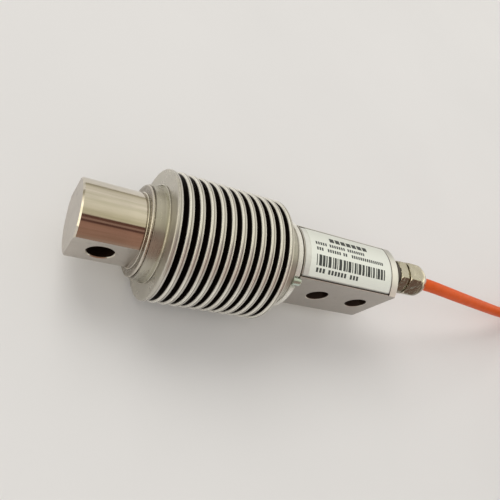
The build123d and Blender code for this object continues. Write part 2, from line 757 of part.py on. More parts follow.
def inner_core(number):
    """One core from the jacket's end in the gland through its bore to a solder post."""
    entry = Vector(*ROUTE[0])
    start = entry.X + overall_length / 2
    offset = core_radius + CORE_CLEARANCE
    side = -1 if number < 2 else 1
    upper = number in (0, 3)
    y = side * offset
    z = GLAND_HEIGHT + (offset if upper else -offset)
    post = board_start + BOARD_LENGTH - POST_ROW_INSET
    landing_y = (number - (POST_COUNT - 1) / 2) * POST_PITCH
    landing_z = board_top + POST_HEIGHT + CORE_CLEARANCE + core_radius
    leave = chamber_end - CORE_DIAMETER
    points = [(start, y, z), (leave, y, z)]
    if upper:
        points.append(((leave + post) / 2, (y + landing_y) / 2, z + CORE_CLEARANCE))
    points.append((post, landing_y, landing_z))
    return wire_along(points, CORE_DIAMETER, CORE_DIAMETER)


def build():
    """Every node of the part by name, each in the part's frame."""
    nodes = {
        "measuring_body": measuring_body(),
        "bellows": bellows(),
        "load_end_ring": load_end_ring(),
        "fixed_end_ring": fixed_end_ring(),
        "evacuation_stub": evacuation_stub(),
        "terminal_cover": terminal_cover(),
        "rating_label": rating_label(),
        "terminal_strip_front": terminal_strip(-1),
        "terminal_strip_back": terminal_strip(1),
        "gauge_leads_front": gauge_leads(-1),
        "gauge_leads_back": gauge_leads(1),
        "board_pad": board_pad(),
        "compensation_board": compensation_board(),
        "gauge_side_posts": solder_posts(board_start + POST_ROW_INSET),
        "cable_side_posts": solder_posts(board_start + BOARD_LENGTH - POST_ROW_INSET),
        "gland_gasket": gland_gasket(),
        "gland_body": gland_body(),
        "gland_seal": gland_seal(),
        "gland_clamp": gland_clamp(),
        "gland_nut": gland_nut(),
    }
    for place, station in zip(("load", "fixed"), gauge_stations):
        nodes[f"strain_gauge_{place}_front"] = strain_gauge(station, -1)
        nodes[f"strain_gauge_{place}_back"] = strain_gauge(station, 1)
    for number in range(RESISTOR_COUNT):
        nodes[f"trim_resistor_{number + 1}"] = trim_resistor(number)
    colours = ("red", "black", "green", "white")
    for number, colour in enumerate(colours):
        nodes[f"inner_core_{colour}"] = inner_core(number)
    nodes = {name: CELL_PLACE * shape for name, shape in nodes.items()}
    near, far, _, _ = hank_frame()
    nodes["cable"] = cable()
    nodes["cable_hank"] = cable_hank()
    nodes["hank_tie_back"] = hank_tie((near + far) / 2, 1)
    nodes["hank_tie_front"] = hank_tie(far - TIE_WIDTH, -1)
    nodes["jacket_sleeve"] = jacket_sleeve()
    ends = []
    for number, colour in enumerate(colours):
        nodes[f"tail_{colour}"], end = tail(number)
        ends.append(end)
    nodes["ferrules"] = ferrules(ends)
    return nodes


os.makedirs("parts", exist_ok=True)
for name, shape in build().items():
    export_step(shape, f"parts/{name}.step")
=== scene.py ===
import logging
import math
from collections.abc import Sequence
from dataclasses import dataclass
from enum import Enum

import bmesh
import bpy
import numpy as np
from mathutils import Matrix, Vector


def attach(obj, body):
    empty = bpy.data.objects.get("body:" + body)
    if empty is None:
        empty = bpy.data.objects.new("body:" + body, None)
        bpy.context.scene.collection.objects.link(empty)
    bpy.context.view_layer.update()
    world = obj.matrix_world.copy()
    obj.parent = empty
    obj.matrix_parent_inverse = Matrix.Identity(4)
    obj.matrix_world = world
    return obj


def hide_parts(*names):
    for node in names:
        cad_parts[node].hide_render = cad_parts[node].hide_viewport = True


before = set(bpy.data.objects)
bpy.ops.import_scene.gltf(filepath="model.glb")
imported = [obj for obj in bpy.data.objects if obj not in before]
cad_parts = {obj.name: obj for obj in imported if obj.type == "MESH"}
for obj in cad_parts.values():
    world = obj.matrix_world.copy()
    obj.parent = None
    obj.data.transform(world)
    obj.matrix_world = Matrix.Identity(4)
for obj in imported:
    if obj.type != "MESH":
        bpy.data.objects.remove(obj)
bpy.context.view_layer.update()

LOG = logging.getLogger("load_cell")
MM = 0.001
LOAD_END = -68.7
AXIS_HEIGHT = 21.75
AXIS = (0.0, AXIS_HEIGHT)
ROOT = "root"

Colour = tuple[float, float, float]
Point = tuple[float, float, float]
Range = tuple[float, float]
Outline = Sequence[tuple[float, float]]
Piece = bpy.types.Object
Socket = bpy.types.NodeSocket


def station(distance: float) -> float:
    """Turn a distance from the load end into a place along the row's X, in millimetres."""
    return distance + LOAD_END


# Surfaces


def link_object(name: str, data: bpy.types.ID) -> Piece:
    """Put an object with its data into the scene.

    Args:
        name: Name of the object.
        data: Its mesh, curve, lamp or camera.

    Returns:
        The new object, at the origin.
    """
    thing = bpy.data.objects.new(name, data)
    bpy.context.scene.collection.objects.link(thing)
    return thing


def make_object(name: str, points: np.ndarray, faces: np.ndarray, smooth_angle: float = 40.0) -> Piece:
    """Put points and quads into a mesh that rides on the cell.

    Args:
        name: Name of the piece.
        points: Array of (count, 3) places in millimetres.
        faces: Array of (count, 4) point numbers.
        smooth_angle: Edges that turn by more degrees than this stay sharp.

    Returns:
        The new piece, at the origin.
    """
    mesh = bpy.data.meshes.new(name)
    mesh.from_pydata((points * MM).tolist(), [], faces.tolist())
    work = bmesh.new()
    work.from_mesh(mesh)
    bmesh.ops.remove_doubles(work, verts=work.verts, dist=1e-7)
    bmesh.ops.recalc_face_normals(work, faces=work.faces)
    work.to_mesh(mesh)
    work.free()
    mesh.shade_smooth()
    mesh.set_sharp_from_angle(angle=math.radians(smooth_angle))
    piece = link_object(name, mesh)
    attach(piece, ROOT)
    return piece


def grid_faces(
    rows: int, columns: int, wrap_rows: bool = False, wrap_columns: bool = False
) -> np.ndarray:
    """Number the quads of a grid of points, counted row by row.

    Args:
        rows: Count of rows.
        columns: Count of points in a row.
        wrap_rows: Whether the last row joins the first.
        wrap_columns: Whether each row's end joins its start.

    Returns:
        Array of (count, 4) point numbers.
    """
    down = np.arange(rows if wrap_rows else rows - 1)[:, None] * columns
    across = np.arange(columns if wrap_columns else columns - 1)[None, :]
    below = (down + columns) % (rows * columns)
    beside = (across + 1) % columns
    corners = [down + across, down + beside, below + beside, below + across]
    return np.stack(corners, axis=-1).reshape(-1, 4)


def pair(x: np.ndarray, r: np.ndarray) -> np.ndarray:
    """Join stations and radii into an array of (station, radius) places."""
    return np.stack(np.broadcast_arrays(x, r), axis=-1)


def full_turn(segments: int) -> np.ndarray:
    """Even angles once round, the first at 0."""
    return np.linspace(0.0, 2 * math.pi, segments, endpoint=False)


def soften(corners: Outline, reach: float, steps: int = 4) -> np.ndarray:
    """Round the corners of a closed outline.

    Each corner P becomes the curve (1-t)^2 A + 2t(1-t) P + t^2 B, where A and B lie on the two sides,
    reach away from P or at most 45 percent of the side.

    Args:
        corners: The outline's corners in millimetres.
        reach: How far a corner's curve reaches along each side.
        steps: Points along each curve.

    Returns:
        Array of (count, 2) places.
    """
    point = np.asarray(corners, float)
    ends = []
    for shift in (1, -1):
        side = np.roll(point, shift, axis=0) - point
        length = np.linalg.norm(side, axis=1, keepdims=True)
        ends.append(point + side * np.minimum(reach / length, 0.45))
    t = np.linspace(0.0, 1.0, steps)[None, :, None]
    start, middle, end = ends[0][:, None], point[:, None], ends[1][:, None]
    return ((1 - t) ** 2 * start + 2 * t * (1 - t) * middle + t**2 * end).reshape(-1, 2)


def wind(
    name: str,
    x: np.ndarray,
    r: np.ndarray,
    angle: np.ndarray,
    centre: Range = AXIS,
    smooth_angle: float = 40.0,
) -> Piece:
    """Wind a grid of points round a line along X, as a surface closed both ways.

    The point at station x, radius r and angle a is (x, y0 + r cos a, z0 + r sin a).

    Args:
        name: Name of the piece.
        x: Stations in millimetres, as an array that broadcasts to the grid.
        r: Radii in millimetres, in the same way.
        angle: Angles, in the same way.
        centre: The line's (y0, z0) in millimetres.
        smooth_angle: Edges that turn by more degrees than this stay sharp.

    Returns:
        The new piece.
    """
    grid = np.broadcast_arrays(
        x + LOAD_END, centre[0] + r * np.cos(angle), centre[1] + r * np.sin(angle)
    )
    points = np.stack(grid, axis=-1).reshape(-1, 3)
    return make_object(name, points, grid_faces(*grid[0].shape, True, True), smooth_angle)


def turn_outline(name: str, outline: np.ndarray, segments: int, centre: Range = AXIS) -> Piece:
    """Turn a closed outline of (station, radius) places round a line along X."""
    return wind(name, outline[:, :1], outline[:, 1:], full_turn(segments), centre)


# Finishes


class Grain(Enum):
    """How a metal surface was worked, as the grain's fineness along each axis."""

    TURNED = (5200.0, 90.0, 90.0)
    MILLED = (60.0, 60.0, 2600.0)
    SATIN = (1500.0, 1500.0, 1500.0)


def shade(colour: Colour, share: float) -> Colour:
    """A colour with each of its parts times share."""
    return tuple(share * part for part in colour)


class Graph:
    """A node tree, with short calls for the nodes that the finishes and the surroundings use."""

    def __init__(self, tree: bpy.types.NodeTree) -> None:
        """Take the tree that the nodes go into."""
        self.tree = tree

    def add(
        self, kind: str, feeds: dict[str | int, object] | None = None, **settings: object
    ) -> bpy.types.Node:
        """Add a node, set its properties and feed its inputs.

        Args:
            kind: The node's type.
            feeds: A socket to link or a value to set, for each input.
            settings: The node's properties.

        Returns:
            The new node.
        """
        node = self.tree.nodes.new(kind)
        for key, value in settings.items():
            setattr(node, key, value)
        for key, value in (feeds or {}).items():
            self.feed(node, key, value)
        return node

    def feed(self, node: bpy.types.Node, key: str | int, value: object) -> None:
        """Link a socket to an input, or set the input's value.

        Args:
            node: The node that has the input.
            key: The input's name or number.
            value: A socket, or a constant.
        """
        if isinstance(value, Socket):
            self.tree.links.new(value, node.inputs[key])
        else:
            node.inputs[key].default_value = value

    def math(self, operation: str, first: object, second: object = 0.0, clamp: bool = False) -> Socket:
        """One arithmetic step."""
        feeds = {0: first, 1: second}
        return self.add("ShaderNodeMath", feeds, operation=operation, use_clamp=clamp).outputs[0]

    def times(self, first: object, second: object) -> Socket:
        """The product of two values."""
        return self.math("MULTIPLY", first, second)

    def span(
        self, value: object, low: float, high: float, out_low: float = 0.0, out_high: float = 1.0
    ) -> Socket:
        """Map low..high to out_low..out_high, held at the ends.

        Args:
            value: The value to map.
            low: The value that gives out_low.
            high: The value that gives out_high.
            out_low: The result at the low end.
            out_high: The result at the high end.

        Returns:
            The mapped value.
        """
        keys = ("Value", "From Min", "From Max", "To Min", "To Max")
        feeds = dict(zip(keys, (value, low, high, out_low, out_high)))
        return self.add("ShaderNodeMapRange", feeds).outputs["Result"]

    def mix(self, share: object, first: object, second: object) -> Socket:
        """Blend two colours, each a socket or three numbers.

        Args:
            share: How much of the second colour to take.
            first: The colour at 0.
            second: The colour at 1.

        Returns:
            The blend.
        """
        first, second = ((*c, 1.0) if isinstance(c, tuple) else c for c in (first, second))
        feeds = {0: share, 6: first, 7: second}
        return self.add("ShaderNodeMix", feeds, data_type="RGBA").outputs[2]


class Nodes(Graph):
    """A new material's node tree, whose patterns read object coordinates."""

    def __init__(self, name: str) -> None:
        """Make the material with its shader.

        Args:
            name: The material's name.
        """
        self.material = bpy.data.materials.new(name)
        self.material.use_nodes = True
        super().__init__(self.material.node_tree)
        self.shader = self.tree.nodes["Principled BSDF"]
        self.place = self.add("ShaderNodeTexCoord").outputs["Object"]

    def noise(self, scale: float | Colour, detail: float = 3.0, rough: float = 0.5) -> Socket:
        """Noise from 0 to 1.

        Args:
            scale: How fine it is, along every axis or along each.
            detail: Count of finer layers.
            rough: Share of the finer layers.

        Returns:
            The noise.
        """
        scales = scale if isinstance(scale, tuple) else (scale, scale, scale)
        mapping = self.add("ShaderNodeMapping", {"Vector": self.place, "Scale": scales})
        feeds = {"Vector": mapping.outputs["Vector"], "Scale": 1.0, "Detail": detail, "Roughness": rough}
        return self.add("ShaderNodeTexNoise", feeds).outputs["Fac"]

    def vector(self, operation: str, *feeds: object, output: str = "Vector") -> Socket:
        """One step on vectors."""
        node = self.add("ShaderNodeVectorMath", dict(enumerate(feeds)), operation=operation)
        return node.outputs[output]

    def axis(self, letter: str) -> Socket:
        """The object coordinate X, Y or Z, in metres."""
        return self.add("ShaderNodeSeparateXYZ", {0: self.place}).outputs[letter]

    def radius(self) -> Socket:
        """Distance from the cell's axis, in metres."""
        moved = self.vector("MULTIPLY_ADD", self.place, (0.0, 1.0, 1.0), (0.0, 0.0, -AXIS_HEIGHT * MM))
        return self.vector("LENGTH", moved, output="Value")

    def facing(self, axis: Point, low: float, high: float) -> Socket:
        """How far the surface's normal lies along an axis, either way.

        Args:
            axis: The axis, of length one.
            low: The share of the normal along it that gives 0.
            high: The share that gives 1.

        Returns:
            A value from 0 to 1.
        """
        normal = self.add("ShaderNodeNewGeometry").outputs["Normal"]
        share = self.vector("DOT_PRODUCT", normal, axis, output="Value")
        return self.span(self.math("ABSOLUTE", share), low, high)

    def band(self, value: object, reach: Range, soft: float) -> Socket:
        """One inside a range, fading to zero over soft on each side."""
        rise = self.span(value, reach[0] - soft, reach[0])
        return self.times(rise, self.span(value, reach[1], reach[1] + soft, 1.0, 0.0))

    def over(self, distance: object, reach: Range, low: float = 0.0, high: float = 1.0) -> Socket:
        """Map a range of a distance, in millimetres, to low..high, held at the ends."""
        return self.span(distance, reach[0] * MM, reach[1] * MM, low, high)

    def within(self, distance: object, reach: Range, soft: float) -> Socket:
        """One inside a range of a distance, in millimetres, fading to zero over soft on each side."""
        return self.band(distance, shade(reach, MM), soft * MM)

    def along(self, stations: Range, low: float = 0.0, high: float = 1.0) -> Socket:
        """Map a range of stations along the cell to low..high, held at the ends."""
        return self.over(self.axis("X"), tuple(map(station, stations)), low, high)

    def between(self, stations: Range, soft: float) -> Socket:
        """One between two stations along the cell, fading to zero over soft millimetres beyond."""
        return self.within(self.axis("X"), tuple(map(station, stations)), soft)

    def bump(self, height: object, strength: object, distance: float, under: object = None) -> Socket:
        """A bump from a height.

        Args:
            height: The height.
            strength: How much of the bump to take.
            distance: The height of 1, in metres.
            under: Another bump, on which this one lies.

        Returns:
            The bumped normal.
        """
        feeds = {"Height": height, "Strength": strength, "Distance": distance}
        if under is not None:
            feeds["Normal"] = under
        return self.add("ShaderNodeBump", feeds).outputs["Normal"]

    def finish(self, **sockets: object) -> bpy.types.Material:
        """Feed the shader and return its material.

        Args:
            sockets: The shader's inputs, named with underscores for spaces.

        Returns:
            The material.
        """
        for key, value in sockets.items():
            value = (*value, 1.0) if isinstance(value, tuple) else value
            self.feed(self.shader, key.replace("_", " "), value)
        return self.material


@dataclass(frozen=True)
class Metal:
    """A worked metal: colour, gloss and the marks of how it was made."""

    name: str
    colour: Colour
    roughness: float
    grain: Grain = Grain.TURNED
    depth: float = 0.000004
    metallic: float = 1.0
    scratches: float = 0.0
    dents: float = 0.0
    # side and painted_side_shade: faces that look along side, either way, get a painted shade colour.
    side: Point = (1.0, 0.0, 0.0)
    painted_side_shade: Colour | None = None

    def on_side(self, n: Nodes) -> Socket:
        """One on the faces that look along side, either way."""
        return n.facing(self.side, 0.80, 0.96)

    def tint(self, n: Nodes, colour: Socket) -> Socket:
        """Paint shade on the faces that look along side, either way, if a shade colour is set."""
        return colour if self.painted_side_shade is None else n.mix(self.on_side(n), colour, self.painted_side_shade)

    def metal_share(self, n: Nodes) -> object:
        """How metallic the surface is, here the same all over."""
        return self.metallic

    def material(self) -> bpy.types.Material:
        """Build the metal's material.

        Returns:
            A metal whose gloss and colour vary with its grain, with painted shade on the faces along side,
            and scratches and dents, if they are set.
        """
        n = Nodes(self.name)
        grain = n.noise(self.grain.value, 2.0)
        cloud = n.noise(140.0, 4.0, 0.6)
        colour = n.mix(n.span(cloud, 0.35, 0.7), shade(self.colour, 0.86), self.colour)
        colour = n.mix(n.span(grain, 0.3, 0.75, 0.0, 0.16), colour, shade(self.colour, 0.55))
        # Painted shade on the faces that look along side, if one is set.
        colour = self.tint(n, colour)
        rough = n.math("ADD", n.span(grain, 0.3, 0.7, -0.03, 0.05), n.span(cloud, 0.3, 0.7, -0.02, 0.05))
        rough = n.math("ADD", rough, self.roughness, clamp=True)
        normal = n.bump(grain, 0.35, self.depth)
        if self.scratches:
            mark = n.span(n.noise((900.0, 1900.0, 420.0), 6.0, 0.75), 0.5, 0.6)
            normal = n.bump(mark, self.scratches, 0.00003, normal)
            rubbed = n.times(mark, self.on_side(n))
            colour = n.mix(n.times(rubbed, self.scratches), colour, self.colour)
        if self.dents:
            normal = n.bump(n.noise(420.0, 2.0), self.dents, 0.0004, normal)
        return n.finish(Base_Color=colour, Metallic=self.metal_share(n), Roughness=rough, Normal=normal)


@dataclass(frozen=True)
class BellowsSteel(Metal):
    """The formed bellows' steel, with painted shade down between the folds and painted light and shade
    across the crowns.

    Stations and radii are in millimetres.
    """

    folds: Range = (25.9, 65.5)
    pitch: float = 3.6
    front_fade: Range = (24.95, 25.4)
    front_end: Range = (24.9, 25.1)
    fillet_radii: Range = (15.45, 16.05)
    rear_plate: Range = (66.6, 67.0)
    rear_seam: Range = (71.7, 71.85)
    flank_radii: Range = (21.0, 21.2)
    crown_radii: Range = (21.1, 21.3)
    painted_crest_highlight: Colour = (0.87, 0.845, 0.755)
    painted_lee_shade: Colour = (0.63, 0.605, 0.545)
    dark_line_shade_and_seam: Colour = (0.24, 0.215, 0.17)
    painted_fillet_shade: Colour = (0.36, 0.34, 0.25)
    painted_rear_shade: Colour = (0.47, 0.45, 0.38)
    painted_fold_shade: Colour = (0.021, 0.0135, 0.0095)
    front_metallic: float = 0.84

    def metal_share(self, n: Nodes) -> Socket:
        """More metallic on the cuff and the plate at the load end than on the folds."""
        return n.along(self.front_fade, self.front_metallic, self.metallic)

    def tint(self, n: Nodes, colour: Socket) -> Socket:
        """Paint shade on the flanks and roots between the first crown and the last, and paint light and
        shade across the crowns.

        Across a fold runs from -0.5 to 0.5, with 0 at the crown's middle. A crown has a painted highlight
        on its side towards the load end, then a painted dark line, and painted shade beyond it.

        Args:
            n: The material's nodes.
            colour: The steel's colour so far.

        Returns:
            The colour with painted light and shade on the folds, fillet and rear plate, and the rear seam's
            line.
        """
        on_folds = n.between(self.folds, 0.3)
        start = station(self.folds[0]) * MM
        fold = n.math("DIVIDE", n.math("SUBTRACT", n.axis("X"), start), self.pitch * MM)
        across = n.math("SUBTRACT", n.math("FRACT", n.math("ADD", fold, 0.5)), 0.5)
        # Painted highlight on the crown's side towards the load end, a painted dark line, then painted
        # shade.
        crown = n.mix(n.span(across, -0.04, 0.02), self.painted_crest_highlight, self.painted_lee_shade)
        crown = n.mix(n.times(n.band(across, (-0.05, 0.0), 0.03), 0.9), crown, self.dark_line_shade_and_seam)
        colour = n.mix(n.times(n.over(n.radius(), self.crown_radii, 0.0, 0.95), on_folds), colour, crown)
        # Painted shade in the concave bend between the load end cuff and its plate.
        front = n.along(self.front_end, 1.0, 0.0)
        painted_fillet_shade = n.times(n.within(n.radius(), self.fillet_radii, 0.2), front)
        colour = n.mix(n.times(painted_fillet_shade, 0.8), colour, self.painted_fillet_shade)
        # Painted shade on the fixed end's plate and cuff.
        colour = n.mix(n.along(self.rear_plate, 0.0, 0.85), colour, self.painted_rear_shade)
        colour = n.mix(n.along(self.rear_seam, 0.0, 0.85), colour, self.dark_line_shade_and_seam)
        # Painted shade on the flanks and roots below the crowns, between the folds.
        down = n.over(n.radius(), self.flank_radii, 1.0, 0.0)
        return n.mix(n.times(on_folds, down), colour, self.painted_fold_shade)


@dataclass(frozen=True)
class BodySteel:
    """The measuring body's steel: polished where it was turned, satin on its flats and ends.

    Stations, depths and radii are in millimetres.
    """

    name: str = "cell_steel"
    polished: Colour = (0.80, 0.74, 0.65)
    satin: Colour = (0.59, 0.55, 0.50)
    streak: Colour = (0.50, 0.48, 0.36)
    rim: Colour = (1.0, 0.985, 0.90)
    seam_and_gap_shade: Colour = (0.050, 0.038, 0.030)
    # hole: the painted shade colour of the cross holes' walls.
    hole: Colour = (0.055, 0.034, 0.024)
    polished_roughness: float = 0.06
    satin_roughness: float = 0.38
    block_roughness: float = 0.33
    hole_roughness: float = 0.6
    holes: tuple[float, ...] = (9.5, 91.5, 110.5)
    hole_wall: Range = (4.24, 4.34)
    hole_depth: Range = (9.5, 9.7)
    handled: Range = (13.4, 16.0)
    block_start: Range = (74.0, 74.6)
    front_seam: Range = (74.2, 74.65)
    rear_seam: Range = (115.85, 116.25)
    end_rim: Range = (116.3, 116.5)
    rim_shade_fade: Range = (0.0, 9.0)
    lip_run: Range = (74.6, 116.4)
    lip_depth: Range = (-9.82, -9.2)

    def in_hole(self, n: Nodes) -> Socket:
        """Find the walls of the cross holes, between their chamfers.

        Args:
            n: The material's nodes.

        Returns:
            One on the walls and zero elsewhere.
        """
        flattened = n.vector("MULTIPLY", n.place, (1.0, 0.0, 1.0))
        nearest: object = 1.0
        for hole in self.holes:
            middle = (station(hole) * MM, 0.0, AXIS_HEIGHT * MM)
            reach = n.vector("DISTANCE", flattened, middle, output="Value")
            nearest = n.math("MINIMUM", reach, nearest)
        depth = n.over(n.math("ABSOLUTE", n.axis("Y")), self.hole_depth, 1.0, 0.0)
        return n.times(n.over(nearest, self.hole_wall, 1.0, 0.0), depth)

    def seams_and_gap_shadow(self, n: Nodes, turned: Socket) -> Socket:
        """Find the block's two round seams, dark joints partly painted shadow, and the painted shadow of
        the cover's gap along its front upper edge.

        Args:
            n: The material's nodes.
            turned: One on the turned surfaces.

        Returns:
            One on the lines and zero elsewhere.
        """
        # Painted shadow of the cover's gap, on the lip beside it.
        lip = n.times(n.within(n.axis("Y"), self.lip_depth, 0.04), turned)
        lip = n.times(lip, n.between(self.lip_run, 0.1))
        front = n.times(n.between(self.front_seam, 0.05), 0.7)
        rings = n.math("MAXIMUM", n.between(self.rear_seam, 0.05), front)
        return n.math("MAXIMUM", lip, n.times(rings, turned))

    def material(self) -> bpy.types.Material:
        """Build the material, with the flats and ends found from the way the surface faces.

        Returns:
            Polished steel with satin flats and ends, and dull walls with painted shade in its holes.
        """
        n = Nodes(self.name)
        end = n.facing((1.0, 0.0, 0.0), 0.9, 0.98)
        dull = n.math("MAXIMUM", n.facing((0.0, 1.0, 0.0), 0.93, 0.99), end)
        turned = n.math("SUBTRACT", 1.0, dull)
        on_block = n.along(self.block_start)
        cloud = n.noise((90.0, 160.0, 160.0), 4.0, 0.6)
        satin = n.mix(on_block, self.satin, shade(self.satin, 0.80))
        handled = n.along(self.handled, 1.0, 0.0)
        colour = n.mix(dull, n.mix(handled, self.polished, shade(self.polished, 0.94)), satin)
        streak = n.span(n.noise((22.0, 420.0, 420.0), 4.0, 0.65), 0.42, 0.66, 0.0, 0.62)
        colour = n.mix(n.times(streak, turned), colour, self.streak)
        colour = n.mix(n.span(cloud, 0.35, 0.75, 0.0, 0.22), colour, shade(self.satin, 0.7))
        stain = n.times(n.span(n.noise(420.0, 5.0, 0.7), 0.56, 0.7, 0.0, 0.35), dull)
        colour = n.mix(stain, colour, shade(self.satin, 0.5))
        # The end rim's whiter colour, with painted shade darker towards the back.
        rim = n.mix(n.over(n.axis("Y"), self.rim_shade_fade), self.rim, shade(self.rim, 0.5))
        colour = n.mix(n.times(n.along(self.end_rim, 0.0, 0.9), turned), colour, rim)
        # Dark seams partly painted shadow, and the painted shadow of the cover's gap.
        colour = n.mix(self.seams_and_gap_shadow(n, turned), colour, self.seam_and_gap_shade)
        wall = self.in_hole(n)
        # Painted shade on the walls of the cross holes.
        colour = n.mix(wall, colour, self.hole)
        rough = n.span(on_block, 0.0, 1.0, self.polished_roughness, self.block_roughness)
        rough = n.math("MAXIMUM", rough, n.span(dull, 0.0, 1.0, 0.0, self.satin_roughness))
        rough = n.math("MAXIMUM", rough, n.times(wall, self.hole_roughness))
        rough = n.math("ADD", rough, n.span(cloud, 0.3, 0.75, -0.015, 0.07))
        metallic = n.math("SUBTRACT", 1.0, n.times(n.times(on_block, turned), 0.4))
        normal = self.relief(n, end, dull)
        return n.finish(Base_Color=colour, Metallic=metallic, Roughness=rough, Normal=normal)

    def relief(self, n: Nodes, end: Socket, dull: Socket) -> Socket:
        """Lay the turning's rings and a fine grit over faint lines round the bar.

        Args:
            n: The material's nodes.
            end: One on the faces across the cell.
            dull: One on those faces and the flats.

        Returns:
            The bumped normal.
        """
        middle = n.vector("SUBTRACT", n.place, (0.0, 0.0, AXIS_HEIGHT * MM))
        feeds = {"Vector": middle, "Scale": 900.0, "Distortion": 1.5}
        rings = n.add("ShaderNodeTexWave", feeds, wave_type="RINGS", rings_direction="X").outputs["Fac"]
        height = n.math("ADD", n.times(rings, n.times(end, 0.6)), n.noise(2600.0, 3.0, 0.6))
        polish = n.bump(n.noise(Grain.TURNED.value, 2.0), 0.12, 0.000003)
        return n.bump(height, n.times(dull, 0.5), 0.000012, polish)


@dataclass(frozen=True)
class Plastic:
    """A moulded, drawn or woven plastic or rubber, with a faint unevenness."""

    name: str
    colour: Colour
    roughness: float = 0.45
    grain: float = 900.0
    depth: float = 0.00002
    mottle: float = 0.12
    glow: float = 0.0
    specular: float = 0.5

    def material(self) -> bpy.types.Material:
        """Build the plastic's material.

        Returns:
            A plastic with a soft mottle of its colour and a fine grain.
        """
        n = Nodes(self.name)
        cloud = n.noise(180.0, 4.0, 0.6)
        fine = n.noise(self.grain, 4.0, 0.6)
        darker = shade(self.colour, 1.0 - 2 * self.mottle)
        lighter = tuple(min(1.0, part) for part in shade(self.colour, 1.0 + self.mottle))
        n.shader.inputs["Subsurface Weight"].default_value = self.glow
        n.shader.inputs["Subsurface Scale"].default_value = 0.001
        n.shader.inputs["Specular IOR Level"].default_value = self.specular
        return n.finish(
            Base_Color=n.mix(n.span(cloud, 0.3, 0.72), darker, lighter),
            Roughness=n.span(fine, 0.3, 0.7, self.roughness - 0.06, self.roughness + 0.08),
            Normal=n.bump(fine, 0.25, self.depth),
        )


@dataclass(frozen=True)
class Foil:
    """The rating label's brushed foil, or the ink on it."""

    name: str
    colour: Colour
    metallic: float
    roughness: float
    far_side_shade: Range = (-1.0, 9.0)

    def material(self) -> bpy.types.Material:
        """Build the material with a fine grain along the cell and faint handling marks.

        Returns:
            A foil with painted shade, darker round its far side.
        """
        n = Nodes(self.name)
        grain = n.noise((400.0, 5000.0, 5000.0), 3.0)
        marks = n.noise((300.0, 700.0, 700.0), 6.0, 0.7)
        # Painted shade, darker round the far side.
        colour = n.mix(n.over(n.axis("Y"), self.far_side_shade), self.colour, shade(self.colour, 0.80))
        colour = n.mix(n.span(grain, 0.3, 0.7, 0.0, 0.3), colour, shade(self.colour, 0.88))
        colour = n.mix(n.span(marks, 0.58, 0.75, 0.0, 0.4), colour, shade(self.colour, 0.72))
        rough = n.math("ADD", n.span(marks, 0.3, 0.7, -0.05, 0.08), self.roughness)
        normal = n.bump(grain, 0.15, 0.000005)
        return n.finish(Base_Color=colour, Metallic=self.metallic, Roughness=rough, Normal=normal)


# The cell


